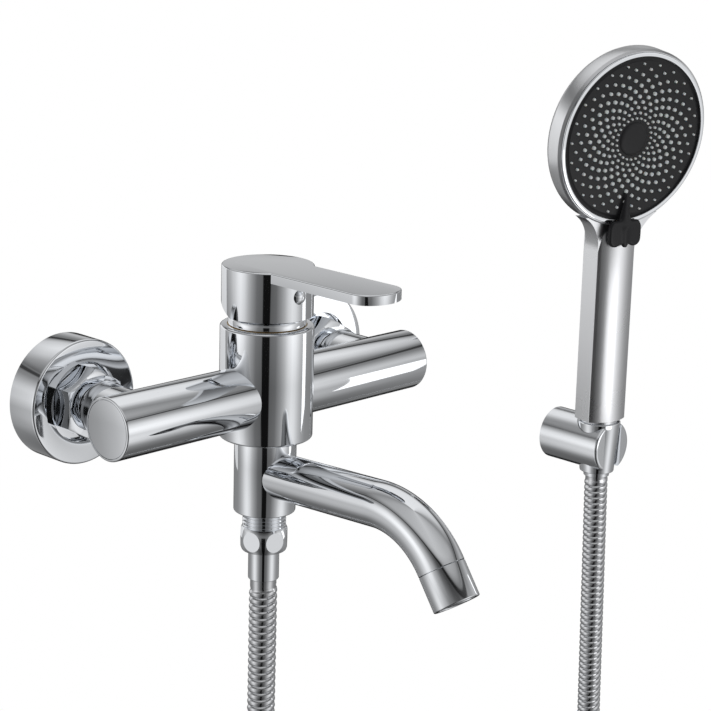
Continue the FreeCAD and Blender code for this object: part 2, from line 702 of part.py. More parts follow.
def lever_handle():
    """Round cap with a flat paddle flush with its top and a relieved back for the tilt."""
    cap = rod(CAP_R, CAP_TOP - CAP_BOTTOM, Vector(0, 0, CAP_BOTTOM))
    paddle = paddle_outline().extrude(Vector(0, 0, PADDLE_THICKNESS))
    paddle.translate(Vector(0, 0, CAP_TOP - PADDLE_THICKNESS))
    handle = cap.fuse(paddle).removeSplitter()
    handle = rounded(handle, CAP_EDGE, lambda e: e.BoundBox.ZMin > CAP_TOP - 1e-3)
    roof = CAP_TOP - CAP_ROOF
    hollow = rod(CAP_R - CAP_WALL, roof - CAP_BOTTOM, Vector(0, 0, CAP_BOTTOM))
    boss = rod(BOSS_R, roof - BOSS_BOTTOM, Vector(0, 0, BOSS_BOTTOM))
    relief = block((-2 * CAP_R, 0, -2 * CAP_R), (2 * CAP_R, 3 * CAP_R, 0))
    relief.rotate(Vector(), RIGHT, CAP_RELIEF_ANGLE)
    relief.translate(Vector(0, CAP_RELIEF_START, CAP_BOTTOM))
    socket = block(
        (-STEM_WIDTH / 2 - SEAT_GAP, -STEM_DEPTH / 2 - SEAT_GAP, BOSS_BOTTOM),
        (STEM_WIDTH / 2 + SEAT_GAP, STEM_DEPTH / 2 + SEAT_GAP, STEM_TOP + SEAT_GAP),
    )
    screw_hole = rod(GRUB_SCREW_R + THREAD_GAP, BOSS_R, Vector(0, 0, SCREW_HEIGHT), OUT)
    cover_hole = rod(COVER_HOLE_R + THREAD_GAP, CAP_R + 1, Vector(0, 0, SCREW_HEIGHT), OUT)
    cover_hole = cover_hole.cut(rod(BOSS_R, 2 * BOSS_R, Vector(0, 0, BOSS_BOTTOM - BOSS_R)))
    handle = handle.cut(hollow).fuse(boss).cut([relief, socket, screw_hole, cover_hole])
    handle.translate(BODY_AXIS)
    return handle


def grub_screw():
    start = on_body(SCREW_HEIGHT) + OUT * (STEM_DEPTH / 2)
    profile = [
        (0, 0), (GRUB_SCREW_R - PIECE_EDGE, 0), (GRUB_SCREW_R, PIECE_EDGE), (GRUB_SCREW_R, GRUB_SCREW_LENGTH),
        (GRUB_KEY_R, GRUB_SCREW_LENGTH), (GRUB_KEY_R, GRUB_KEY_FLOOR), (0, GRUB_KEY_FLOOR),
    ]
    return lathe(profile, start, OUT)


def screw_cover():
    """Domed chrome stud that closes the grub screw's hole under the paddle."""
    wall_inside = CAP_R - CAP_WALL
    seat = CAP_R + THREAD_GAP
    dome_r = (COVER_HEAD_R ** 2 + COVER_HEAD_RISE ** 2) / (2 * COVER_HEAD_RISE)
    half_angle = math.asin(COVER_HEAD_R / dome_r) / 2
    middle = (dome_r * math.sin(half_angle), seat + COVER_HEAD_RISE - dome_r * (1 - math.cos(half_angle)))
    profile = [
        (0, wall_inside), (COVER_HOLE_R, wall_inside), (COVER_HOLE_R, seat),
        (COVER_HEAD_R, seat), middle + (0, seat + COVER_HEAD_RISE),
    ]
    return lathe(profile, on_body(SCREW_HEIGHT), OUT)


# outlet core and spout

NIPPLE_FLANGE_TOP = SLEEVE_BOTTOM + NIPPLE_FLANGE_THICKNESS + SEAT_GAP


def outlet_core():
    """Fixed tube under the body that the spout's sleeve turns on, with a port towards the spout."""
    top = BARREL_BOTTOM + CORE_THREAD_LENGTH
    shoulder = BARREL_BOTTOM
    groove_r = CORE_R - 2 * O_RING_R
    profile = [(CORE_BORE_R, CORE_BOTTOM), (CORE_R, CORE_BOTTOM)]
    for height in reversed(O_RING_HEIGHTS):
        profile += [
            (CORE_R, height - O_RING_R), (groove_r, height - O_RING_R),
            (groove_r, height + O_RING_R), (CORE_R, height + O_RING_R),
        ]
    profile += [(CORE_R, shoulder), (CORE_THREAD_R, shoulder), (CORE_THREAD_R, top), (CORE_BORE_R, top)]
    port = rod(CORE_PORT_R, CORE_R + 1, on_body(SPOUT_ROOT_HEIGHT), OUT)
    nipple_thread = rod(NIPPLE_SCREW_R + THREAD_GAP, NIPPLE_SCREW_LENGTH, on_body(CORE_BOTTOM))
    return lathe(profile, BODY_AXIS).cut([port, nipple_thread])


def spout_o_rings():
    rings = []
    for height in O_RING_HEIGHTS:
        torus = Part.makeTorus(CORE_R - O_RING_R - RUNNING_GAP / 2, O_RING_R - RUNNING_GAP, on_body(height), UP)
        rings.append(torus)
    return Part.makeCompound(rings)


def spout_path():
    """Straight, bend and straight of the spout's centreline; its last point and direction."""
    rise, fall = math.radians(SPOUT_RISE_ANGLE), math.radians(SPOUT_FALL_ANGLE)
    start = Vector(0, 0, SPOUT_ROOT_HEIGHT)
    level = Vector(0, -math.cos(rise), math.sin(rise))
    bend_start = start + level * (SPOUT_STRAIGHT / math.cos(rise))
    centre = bend_start + Vector(0, -math.sin(rise), -math.cos(rise)) * SPOUT_BEND_R

    def on_bend(angle):
        return centre + Vector(0, -math.sin(angle), math.cos(angle)) * SPOUT_BEND_R

    bend_end = on_bend(fall)
    middle = on_bend((fall - rise) / 2)
    down = Vector(0, -math.cos(fall), -math.sin(fall))
    end = bend_end + down * SPOUT_END_LENGTH
    edges = [
        Part.makeLine(start, bend_start),
        Part.Arc(bend_start, middle, bend_end).toShape(),
        Part.makeLine(bend_end, end),
    ]
    return edges, end, down


def pipe(edges, radius, start, direction):
    path = Part.Wire(edges)
    section = Part.Wire(Part.makeCircle(radius, start, direction))
    return path.makePipeShell([section], True, False)


def spout():
    """Sleeve and curved tube in one casting, cut short for the aerator's housing."""
    edges, end, down = spout_path()
    seam = end - down * AERATOR_LENGTH
    tube_edges = edges[:2] + [Part.makeLine(edges[2].Vertexes[0].Point, seam)]
    start = edges[0].Vertexes[0].Point
    direction = edges[0].Vertexes[1].Point - start
    tube = pipe(tube_edges, SPOUT_TUBE_R, start, direction)
    water = pipe(tube_edges, SPOUT_TUBE_R - SPOUT_WALL, start, direction)
    top = BARREL_BOTTOM - MOVING_GAP
    sleeve = rod(SLEEVE_R, top - SLEEVE_BOTTOM, Vector(0, 0, SLEEVE_BOTTOM))
    sleeve = rounded(sleeve, SLEEVE_EDGE, lambda e: circle_at(e, SLEEVE_R, SLEEVE_BOTTOM, "z"))
    bore = rod(CORE_R + RUNNING_GAP, top - SLEEVE_BOTTOM, Vector(0, 0, SLEEVE_BOTTOM))
    recess = rod(SLEEVE_RECESS_R, SLEEVE_RECESS_DEPTH, Vector(0, 0, SLEEVE_BOTTOM))
    spigot_bore = rod(AERATOR_SPIGOT_R + THREAD_GAP, AERATOR_SPIGOT_LENGTH + SEAT_GAP, seam, -down)
    body = sleeve.fuse(tube).cut([water, bore, recess, spigot_bore])
    body.translate(BODY_AXIS)
    return body


def at_seam():
    edges, end, down = spout_path()
    return end - down * AERATOR_LENGTH + BODY_AXIS, down


def aerator_shoulder():
    """How far from the seam the washer's seat lies."""
    return AERATOR_LENGTH - INSERT_SETBACK - INSERT_LENGTH - AERATOR_WASHER_THICKNESS


def aerator_housing():
    """Screwed end of the spout, with a fine groove at its seam and a thick lip at the mouth."""
    seam, down = at_seam()
    bore = SPOUT_TUBE_R - AERATOR_WALL
    throat = bore - AERATOR_SHOULDER
    shoulder = aerator_shoulder()
    edge = AERATOR_EDGE
    length = AERATOR_LENGTH
    profile = [
        (throat, -AERATOR_SPIGOT_LENGTH), (AERATOR_SPIGOT_R, -AERATOR_SPIGOT_LENGTH),
        (AERATOR_SPIGOT_R, SEAM_GAP),
        (SPOUT_TUBE_R - SEAM_GAP, SEAM_GAP), (SPOUT_TUBE_R, 2 * SEAM_GAP), (SPOUT_TUBE_R, length - edge),
        (SPOUT_TUBE_R - edge, length), (bore, length), (bore, shoulder), (throat, shoulder),
    ]
    return lathe(profile, seam, down)


def aerator_insert():
    """Plastic core of the aerator, open through two rings of small holes."""
    seam, down = at_seam()
    radius = SPOUT_TUBE_R - AERATOR_WALL - THREAD_GAP
    core = lathe([
        (0, 0), (radius, 0), (radius, INSERT_LENGTH), (radius - INSERT_LIP, INSERT_LENGTH),
        (radius - INSERT_LIP, INSERT_LENGTH - INSERT_LIP), (0, INSERT_LENGTH - INSERT_LIP),
    ])
    holes = []
    for ring_r, count in ((INSERT_INNER_R, INSERT_INNER_HOLES), (INSERT_OUTER_R, INSERT_OUTER_HOLES)):
        for k in range(count):
            angle = 2 * math.pi * k / count
            at = Vector(ring_r * math.cos(angle), ring_r * math.sin(angle), 0)
            holes.append(rod(INSERT_HOLE_R, INSERT_LENGTH, at))
    core = core.cut(holes)
    start = aerator_shoulder() + AERATOR_WASHER_THICKNESS
    core.Placement = Placement(seam + down * start, Rotation(UP, down))
    return core


def aerator_washer():
    seam, down = at_seam()
    radius = SPOUT_TUBE_R - AERATOR_WALL - THREAD_GAP
    inner = radius - AERATOR_WASHER_WIDTH
    return ring(radius, inner, AERATOR_WASHER_THICKNESS, seam + down * aerator_shoulder(), down)


# hose connection under the spout's sleeve

def glide_ring():
    """Slip washer between the nipple's flange and the sleeve's shoulder."""
    return ring(NIPPLE_FLANGE_R, NIPPLE_SHOULDER_R + SEAT_GAP, GLIDE_RING_THICKNESS, on_body(NIPPLE_FLANGE_TOP))


def hose_nipple():
    """Screwed up into the core; its flange carries the spout and its thread takes the hose."""
    flange_bottom = NIPPLE_FLANGE_TOP - NIPPLE_FLANGE_THICKNESS
    screw_top = CORE_BOTTOM + NIPPLE_SCREW_LENGTH - SEAT_GAP
    profile = [
        (NIPPLE_BORE_R, NIPPLE_END), (NIPPLE_R - NIPPLE_EDGE, NIPPLE_END), (NIPPLE_R, NIPPLE_END + NIPPLE_EDGE),
        (NIPPLE_R, flange_bottom), (NIPPLE_FLANGE_R, flange_bottom), (NIPPLE_FLANGE_R, NIPPLE_FLANGE_TOP),
        (NIPPLE_SHOULDER_R, NIPPLE_FLANGE_TOP), (NIPPLE_SHOULDER_R, CORE_BOTTOM), (NIPPLE_SCREW_R, CORE_BOTTOM),
        (NIPPLE_SCREW_R, screw_top), (NIPPLE_BORE_R, screw_top),
    ]
    return lathe(profile, BODY_AXIS)


HOSE_WASHER_BOTTOM = NIPPLE_END - HOSE_WASHER_THICKNESS
HOSE_NUT_BOTTOM = HOSE_WASHER_BOTTOM - FERRULE_FLANGE_THICKNESS - HOSE_NUT_LIP


def hose_nut():
    """Six oval flats on a barrel-shaped nut."""
    length = HOSE_NUT_TOP - HOSE_NUT_BOTTOM
    barrel = lathe([
        (0, HOSE_NUT_BOTTOM), (HOSE_NUT_RIM_R, HOSE_NUT_BOTTOM),
        (HOSE_NUT_R, HOSE_NUT_BOTTOM + length / 2, HOSE_NUT_RIM_R, HOSE_NUT_TOP), (0, HOSE_NUT_TOP),
    ], BODY_AXIS)
    nut = hexagon(HOSE_NUT_FLATS, length, on_body(HOSE_NUT_BOTTOM), UP, turn=HOSE_NUT_TURN).common(barrel)
    thread = rod(NIPPLE_R + THREAD_GAP, length - HOSE_NUT_LIP, on_body(HOSE_NUT_BOTTOM + HOSE_NUT_LIP))
    mouth = rod(FERRULE_R + MOVING_GAP, length, on_body(HOSE_NUT_BOTTOM))
    return nut.cut([thread, mouth])


def hose_washer():
    return ring(NIPPLE_R - NIPPLE_EDGE, NIPPLE_BORE_R, HOSE_WASHER_THICKNESS, on_body(HOSE_WASHER_BOTTOM))


def ferrule(top, bottom, bore):
    """Crimped sleeve of the hose, from its flange down to where the ribs start."""
    flange_bottom = top - FERRULE_FLANGE_THICKNESS
    return [
        (bore, bottom), (FERRULE_R - PIECE_EDGE, bottom), (FERRULE_R, bottom + PIECE_EDGE),
        (FERRULE_R, flange_bottom),
        (FERRULE_FLANGE_R, flange_bottom), (FERRULE_FLANGE_R, top), (bore, top),
    ]


def hose_ferrule():
    return lathe(ferrule(HOSE_WASHER_BOTTOM, FERRULE_BOTTOM, HOSE_BORE_R), BODY_AXIS)


# ribbed hose

def hose_route():
    """The hanging hose's points, from the mixer's ferrule down, across and up to the bracket."""
    start = on_body(FERRULE_BOTTOM)
    end = SOCKET + Vector(0, 0, FERRULE_HAND_BOTTOM)
    return [
        start,
        Vector(0, -58, -200),
        Vector(-5, -58, -320),
        Vector(-3, -58, -428),
        Vector(14, -57, -507),
        Vector(54, -54, -560),
        Vector(110, -50, -580),
        Vector(173, -44, -580),
        Vector(229, -38, -561),
        Vector(271, -33, -508),
        Vector(290, -31.5, -428),
        Vector(293, -31.5, -320),
        Vector(BRACKET_X, -SOCKET_OUT, -208),
        end,
    ]


def hose_path(points):
    """Straight runs joined by tangent arcs, each as large as its two runs allow; prints the radii."""
    pieces = []
    radii = []
    last = points[0]
    for before, corner, after in zip(points, points[1:], points[2:]):
        back, ahead = before - corner, after - corner
        reach = 0.45 * min(back.Length, ahead.Length)
        turn = math.pi - back.getAngle(ahead)
        radii.append(reach / math.tan(turn / 2))
        back.normalize()
        ahead.normalize()
        enter, leave = corner + back * reach, corner + ahead * reach
        inward = back + ahead
        inward.normalize()
        sag = radii[-1] * (1 / math.cos(turn / 2) - 1)
        pieces.append(Part.makeLine(last, enter))
        pieces.append(Part.Arc(enter, corner + inward * sag, leave).toShape())
        last = leave
    pieces.append(Part.makeLine(last, points[-1]))
    print("hose radii", [round(r) for r in radii])
    return pieces


def along_path(pieces, distances):
    """Points and tangents at distances along the path."""
    found = []
    k, passed = 0, 0.0
    for distance in distances:
        while k < len(pieces) - 1 and distance > passed + pieces[k].Length:
            passed += pieces[k].Length
            k += 1
        piece = pieces[k]
        first, last = piece.FirstParameter, piece.LastParameter
        share = min(max((distance - passed) / piece.Length, 0.0), 1.0)
        parameter = first + share * (last - first)
        tangent = piece.tangentAt(parameter)
        found.append((piece.valueAt(parameter), tangent))
    return found


def section(point, tangent, radius):
    """A circle square to the path whose X axis keeps the same direction, so that the loft can't twist."""
    side = Vector(0, 1, 0)
    x_axis = side - tangent * side.dot(tangent)
    x_axis.normalize()
    turned = Rotation(x_axis, tangent.cross(x_axis), tangent, "XYZ")
    wire = Part.Wire(Part.makeCircle(radius))
    wire.Placement = Placement(point, turned)
    return wire


def hose_tube():
    """One ribbed tube: plain for a diameter at each end, ribs between, and its bore."""
    pieces = hose_path(hose_route())
    length = sum(p.Length for p in pieces)
    pitch = (length - 2 * HOSE_NODE_STRAIGHT) / HOSE_RIBS
    outer = [(0.0, HOSE_VALLEY_R)]
    for k in range(HOSE_RIBS):
        start = HOSE_NODE_STRAIGHT + k * pitch
        outer += [
            (start, HOSE_VALLEY_R), (start + 0.2 * pitch, HOSE_R),
            (start + 0.6 * pitch, HOSE_R), (start + 0.8 * pitch, HOSE_VALLEY_R),
        ]
    outer.append((length, HOSE_VALLEY_R))
    inner = [(length * k / HOSE_RIBS, HOSE_BORE_R) for k in range(HOSE_RIBS + 1)]
    shells = []
    ends = []
    for stations in (outer, inner):
        places = along_path(pieces, [s for s, radius in stations])
        wires = [section(p, t, radius) for (p, t), (s, radius) in zip(places, stations)]
        shells.append(Part.makeLoft(wires, False, True))
        ends.append((wires[0], wires[-1]))
    caps = [Part.Face([ends[0][k], ends[1][k]]) for k in (0, 1)]
    shell = Part.makeShell(shells[0].Faces + [face.reversed() for face in shells[1].Faces] + caps)
    shell.sewShape()
    tube = Part.makeSolid(shell)
    tube.fix(1e-4, 1e-4, 1e-3)
    plain = math.pi * (HOSE_R ** 2 - HOSE_BORE_R ** 2) * length
    share = tube.Volume / plain
    print("hose length", round(length, 1), "pitch", round(pitch, 2), "volume share", round(share, 3))
    return tube


# wall bracket

def at_bracket(x=0.0, out=0.0, z=0.0):
    return Vector(BRACKET_X + x, -out, BRACKET_Z + z)


def cone_radius(height):
    share = (height - CONE_BOTTOM) / (CONE_TOP - CONE_BOTTOM)
    return CONE_BOTTOM_R + share * (CONE_TOP_R - CONE_BOTTOM_R)


def bracket_body():
    """Round bar square to the wall, with a tapered socket and a slot for the hose."""
    bar = rod(BRACKET_R, BRACKET_LENGTH, at_bracket(), OUT)
    bar = rounded(bar, BRACKET_EDGE, lambda e: circle_at(e, BRACKET_R, -BRACKET_LENGTH, "y"))
    low, high = -BRACKET_R - 1, BRACKET_R + 1
    socket = Part.makeCone(cone_radius(low) + SOCKET_GAP, cone_radius(high) + SOCKET_GAP, high - low,
                           at_bracket(0, SOCKET_OUT, low))
    slot = block(tuple(at_bracket(-BRACKET_SLOT_WIDTH / 2, BRACKET_LENGTH + 1, low)),
                 tuple(at_bracket(BRACKET_SLOT_WIDTH / 2, SOCKET_OUT, high)))
    cavity = rod(BRACKET_CAVITY_R, BRACKET_CAVITY_DEPTH, at_bracket(), OUT)
    lock_hole = rod(LOCK_SCREW_R + THREAD_GAP, BRACKET_R, at_bracket(0, LOCK_SCREW_OUT), -UP)
    return bar.cut([socket, slot, cavity, lock_hole])


def bracket_base():
    """Disc inside the bar's hollow end, with the countersunk hole for the wall's screw."""
    radius = BRACKET_CAVITY_R - SEAT_GAP
    profile = [
        (BASE_HOLE_R, 0), (radius, 0), (radius, BASE_THICKNESS), (BASE_COUNTERSINK_R, BASE_THICKNESS),
        (BASE_HOLE_R, BASE_THICKNESS - BASE_COUNTERSINK_DEPTH),
    ]
    disc = lathe(profile, at_bracket(), OUT)
    tip = at_bracket(0, LOCK_SCREW_OUT, LOCK_SCREW_TIP + SEAT_GAP)
    dimple = rod(LOCK_SCREW_R + THREAD_GAP, radius, tip, -UP)
    return disc.cut(dimple)


def bracket_lock_screw():
    """Grub screw under the bar that bites into the disc's dimple."""
    length = BRACKET_R + LOCK_SCREW_TIP - LOCK_SCREW_INSET
    profile = [
        (0, 0), (LOCK_SCREW_R - PIECE_EDGE, 0), (LOCK_SCREW_R, PIECE_EDGE), (LOCK_SCREW_R, length),
        (LOCK_KEY_R, length), (LOCK_KEY_R, length - LOCK_KEY_DEPTH), (0, length - LOCK_KEY_DEPTH),
    ]
    return lathe(profile, at_bracket(0, LOCK_SCREW_OUT, LOCK_SCREW_TIP), -UP)


# hand shower, drawn around its socket axis with its front towards -Y

def in_socket(shape):
    """Turn and move a piece from the hand shower's own frame into the bracket."""
    placed = shape.copy()
    placed.Placement = Placement(SOCKET, Rotation(UP, HAND_TURN)).multiply(shape.Placement)
    return placed


def on_head(shape):
    """Tilt a piece drawn around the head's axis, its face at y = 0, onto the handle's end."""
    placed = shape.copy()
    tilt = Placement(Vector(0, -HEAD_FORWARD, HEAD_HEIGHT), Rotation(RIGHT, HEAD_TILT))
    placed.Placement = tilt.multiply(shape.Placement)
    return placed


def turned_back(profile):
    """Turn a profile of (radius, depth behind the face) about the head's axis."""
    return lathe(profile, Vector(), -OUT)


def hose_cone():
    """Tapered nut of the hose that screws onto the handle and hangs in the bracket."""
    step = CONE_STEP
    profile = [
        (FERRULE_R + SEAT_GAP, CONE_BOTTOM), (CONE_BOTTOM_R, CONE_BOTTOM), (CONE_TOP_R, CONE_TOP),
        (NIPPLE_R + THREAD_GAP, CONE_TOP), (NIPPLE_R + THREAD_GAP, step), (FERRULE_R + SEAT_GAP, step),
    ]
    return in_socket(lathe(profile))


def cone_ferrule():
    top = CONE_STEP + FERRULE_FLANGE_THICKNESS + SEAT_GAP
    return in_socket(lathe(ferrule(top, FERRULE_HAND_BOTTOM, HOSE_BORE_R)))


def cone_washer():
    bottom = CONE_STEP + FERRULE_FLANGE_THICKNESS + SEAT_GAP
    height = HAND_NIPPLE_BOTTOM - bottom
    return in_socket(ring(NIPPLE_R - NIPPLE_EDGE, NIPPLE_BORE_R, height, Vector(0, 0, bottom)))


def hand_inlet():
    """Metal thread insert in the handle's end."""
    top = HANDLE_BOTTOM + INLET_SLEEVE_LENGTH
    profile = [
        (NIPPLE_BORE_R, HAND_NIPPLE_BOTTOM), (NIPPLE_R - NIPPLE_EDGE, HAND_NIPPLE_BOTTOM),
        (NIPPLE_R, HAND_NIPPLE_BOTTOM + NIPPLE_EDGE), (NIPPLE_R, HANDLE_BOTTOM), (INLET_SLEEVE_R, HANDLE_BOTTOM),
        (INLET_SLEEVE_R, top), (NIPPLE_BORE_R, top),
    ]
    return in_socket(lathe(profile))


def handle_section(half_width, half_side, front, back, height):
    """Flat sides with a full front and a softer back."""
    def at(x, y):
        return Vector(x, y, height)

    return Part.Wire([
        Part.Arc(at(-half_width, -half_side), at(0, front), at(half_width, -half_side)).toShape(),
        Part.makeLine(at(half_width, -half_side), at(half_width, half_side)),
        Part.Arc(at(half_width, half_side), at(0, back), at(-half_width, half_side)).toShape(),
        Part.makeLine(at(-half_width, half_side), at(-half_width, -half_side)),
    ])


def handle():
    """Straight grip and the spine that runs up the back of the head."""
    foot = handle_section(HANDLE_HALF_WIDTH, HANDLE_HALF_SIDE, HANDLE_FRONT, HANDLE_BACK, HANDLE_BOTTOM)
    grip = Part.Face(foot).extrude(Vector(0, 0, HANDLE_TOP - HANDLE_BOTTOM))
    grip = rounded(grip, HANDLE_ARRIS, lambda e: e.BoundBox.ZLength > HANDLE_TOP / 2)
    low = handle_section(HANDLE_HALF_WIDTH, HANDLE_HALF_SIDE, HANDLE_FRONT, HANDLE_BACK, HANDLE_TOP)
    high = handle_section(SPINE_HALF_WIDTH, SPINE_HALF_SIDE, SPINE_FRONT, SPINE_BACK, SPINE_TOP)
    return [grip, Part.makeLoft([low, high], True, True)]


def head_edge(depth):
    """Depth, in the handle's frame, of the head's lowest edge at a depth behind its face."""
    tilt = math.radians(HEAD_TILT)
    return depth * math.cos(tilt) + HEAD_R * math.sin(tilt) - HEAD_FORWARD


def neck():
    """Web between handle and head, hollow on both sides, whose side bands run into the head's band."""
    fillet, half = NECK_FILLET_R, HANDLE_HALF_WIDTH
    drop = math.sqrt((HEAD_R + fillet) ** 2 - (half + fillet) ** 2)
    centre_x, centre_z = half + fillet, HEAD_HEIGHT - drop
    touch = HEAD_R / (HEAD_R + fillet)
    touch_x, touch_z = centre_x * touch, HEAD_HEIGHT - drop * touch
    angle = (math.pi + math.atan2(touch_z - centre_z, touch_x - centre_x)) / 2
    middle_x, middle_z = centre_x + fillet * math.cos(angle), centre_z + fillet * math.sin(angle)

    def at(x, z):
        return Vector(x, -HEAD_FORWARD, z)

    edges = [
        Part.Arc(at(half, centre_z), at(middle_x, middle_z), at(touch_x, touch_z)).toShape(),
        Part.makeLine(at(touch_x, touch_z), at(-touch_x, touch_z)),
        Part.Arc(at(-touch_x, touch_z), at(-middle_x, middle_z), at(-half, centre_z)).toShape(),
        Part.makeLine(at(-half, centre_z), at(half, centre_z)),
    ]
    web = Part.Face(Part.Wire(edges)).extrude(Vector(0, 2 * HEAD_FORWARD, 0))
    side = [
        (-HANDLE_HALF_SIDE, centre_z), (HANDLE_HALF_SIDE, centre_z),
        (head_edge(HEAD_BAND_DEPTH), touch_z), (head_edge(HEAD_FRONT), touch_z), (-HANDLE_HALF_SIDE, centre_z),
    ]
    band = Part.Face(Part.makePolygon([Vector(-HEAD_R, y, z) for y, z in side]))
    return web.common(band.extrude(Vector(2 * HEAD_R, 0, 0)))


def head_back(radius, inset):
    """Rounded shoulder and shallow dome of the head, to follow a straight band of this radius."""
    shoulder = HEAD_SHOULDER_R - 0.6 * inset
    depth = HEAD_SHOULDER_DEPTH - 0.7 * inset
    back = HEAD_DEPTH - inset
    middle_r = shoulder + 0.72 * (radius - shoulder)
    middle_depth = HEAD_BAND_DEPTH + 0.7 * (depth - HEAD_BAND_DEPTH)
    return [
        (radius, HEAD_BAND_DEPTH), (middle_r, middle_depth, shoulder, depth),
        (shoulder / 2, back - 0.25 * (back - depth), 0, back),
    ]


def handset_shell():
    """Handle and back of the head in one chromed moulding."""
    head = turned_back([
        (0, HEAD_FRONT), (HEAD_R - HEAD_EDGE, HEAD_FRONT), (HEAD_R, HEAD_FRONT + HEAD_EDGE),
    ] + head_back(HEAD_R, 0))
    before_face = turned_back([(0, -HEAD_R), (HEAD_R, -HEAD_R), (HEAD_R, HEAD_FRONT), (0, HEAD_FRONT)])
    shell = Part.makeCompound([]).fuse(handle() + [neck()]).cut(on_head(before_face)).fuse(on_head(head))
    seat = FACE_R + SEAT_GAP
    rim_seat = RIM_R + SEAT_GAP
    front_cut = turned_back([
        (0, -HEAD_FRONT), (rim_seat, -HEAD_FRONT), (rim_seat, RIM_DEPTH), (seat, RIM_DEPTH), (seat, FACE_SEAT),
        (0, FACE_SEAT),
    ])
    cavity = turned_back([(0, FACE_BACK), (HEAD_INNER_R, FACE_BACK)] + head_back(HEAD_INNER_R, HEAD_WALL))
    boss = rod(SCREW_BOSS_R, HEAD_DEPTH - HEAD_WALL / 2 - WATER_PLATE_BACK, Vector(0, WATER_PLATE_BACK, 0), -OUT)
    screw_hole = rod(FACE_SCREW_R + THREAD_GAP, FACE_SCREW_END + MOVING_GAP, Vector(), -OUT)
    water = rod(WATER_R, WATER_TOP - HANDLE_BOTTOM, Vector(0, WATER_Y, HANDLE_BOTTOM))
    sleeve = rod(INLET_SLEEVE_R + THREAD_GAP, INLET_SLEEVE_LENGTH, Vector(0, 0, HANDLE_BOTTOM))
    half, back = SLOT_HALF_WIDTH, WATER_PLATE_FRONT
    arm_slot = block((-half, MAT_BACK, SLOT_BOTTOM), (half, back, 1 - HEAD_INNER_R))
    finger_slot = block((-half, -HEAD_DEPTH, SLOT_BOTTOM), (half, back, SLOT_TOP))
    shell = shell.cut([on_head(front_cut), on_head(cavity)]).fuse(on_head(boss))
    return in_socket(shell.cut([on_head(c) for c in (screw_hole, arm_slot, finger_slot)] + [water, sleeve]))


def head_rim():
    """Bright trim ring round the face plate."""
    return in_socket(on_head(turned_back([
        (FACE_R + SEAT_GAP, RIM_EDGE - RIM_RISE), (FACE_R + RIM_EDGE, -RIM_RISE), (RIM_R - RIM_EDGE, -RIM_RISE),
        (RIM_R, RIM_EDGE - RIM_RISE), (RIM_R, RIM_DEPTH), (FACE_R + SEAT_GAP, RIM_DEPTH),
    ])))


def nozzle_places():
    """Place and radius of each nozzle: curved arms, small near the middle and at the edge."""
    places = []
    for k in range(NOZZLE_RINGS):
        share = k / (NOZZLE_RINGS - 1)
        ring_r = NOZZLE_FIRST_R + share * (NOZZLE_LAST_R - NOZZLE_FIRST_R)
        radius = NOZZLE_SMALL_R + (NOZZLE_LARGE_R - NOZZLE_SMALL_R) * math.sin(math.pi * share)
        for arm in range(NOZZLE_ARMS):
            angle = math.radians(360 * arm / NOZZLE_ARMS + NOZZLE_TWIST * k)
            places.append((ring_r * math.cos(angle), ring_r * math.sin(angle), radius))
    return places


def face_plate():
    """Black plate with a hole for every nozzle and a pocket for the centre disc."""
    outline = [Part.Wire(Part.makeCircle(FACE_R, Vector(0, FACE_FRONT, 0), -OUT))]
    holes = [(x, z, radius + FACE_HOLE_GAP) for x, z, radius in nozzle_places()]
    holes.append((0, 0, FACE_SCREW_R + SEAT_GAP))
    for x, z, radius in holes:
        outline.append(Part.Wire(Part.makeCircle(radius, Vector(x, FACE_FRONT, z), -OUT)))
    plate = Part.Face(outline, "Part::FaceMakerCheese").extrude(Vector(0, FACE_BACK - FACE_FRONT, 0))
    pocket = rod(CENTRE_R + SEAT_GAP, CENTRE_POCKET - FACE_FRONT, Vector(0, FACE_FRONT, 0), -OUT)
    return in_socket(on_head(plate.cut(pocket)))


def nozzle_mat():
    """Soft mat behind the plate whose tapered nozzles come through it."""
    mat = turned_back([
        (FACE_SCREW_R + SEAT_GAP, FACE_BACK), (MAT_R, FACE_BACK), (MAT_R, MAT_BACK),
        (FACE_SCREW_R + SEAT_GAP, MAT_BACK),
    ])
    length = FACE_BACK + NOZZLE_RISE
    teats = [
        Part.makeCone(radius, radius * NOZZLE_TAPER, length, Vector(x, FACE_BACK, z), OUT)
        for x, z, radius in nozzle_places()
    ]
    return in_socket(on_head(mat.fuse(teats)))


def centre_disc():
    """Small boss in the middle of the face that hides the screw."""
    hollow_r = FACE_SCREW_HEAD_R + MOVING_GAP
    hollow_front = CENTRE_POCKET - FACE_SCREW_HEAD_HEIGHT - SEAT_GAP
    back = CENTRE_POCKET - SEAT_GAP
    return in_socket(on_head(turned_back([
        (0, -CENTRE_RISE), (CENTRE_R - CENTRE_SLOPE, -CENTRE_RISE),
        (CENTRE_R - CENTRE_BEND, -0.6 * CENTRE_RISE, CENTRE_R, FACE_FRONT), (CENTRE_R, back), (hollow_r, back),
        (hollow_r, hollow_front), (0, hollow_front),
    ])))


def face_screw():
    """Pulls the plate, mat and water plate against the boss inside the head."""
    return in_socket(on_head(turned_back([
        (0, CENTRE_POCKET - FACE_SCREW_HEAD_HEIGHT), (FACE_SCREW_HEAD_R, CENTRE_POCKET - FACE_SCREW_HEAD_HEIGHT),
        (FACE_SCREW_HEAD_R, CENTRE_POCKET), (FACE_SCREW_R, CENTRE_POCKET), (FACE_SCREW_R, FACE_SCREW_END),
        (0, FACE_SCREW_END),
    ])))


def ring_of_holes(ring_r, count, radius, front, back):
    """Straight holes on a circle around the head's axis."""
    angles = [2 * math.pi * k / count for k in range(count)]
    return [
        rod(radius, back - front, Vector(ring_r * math.cos(a), front, ring_r * math.sin(a)), -OUT) for a in angles
    ]


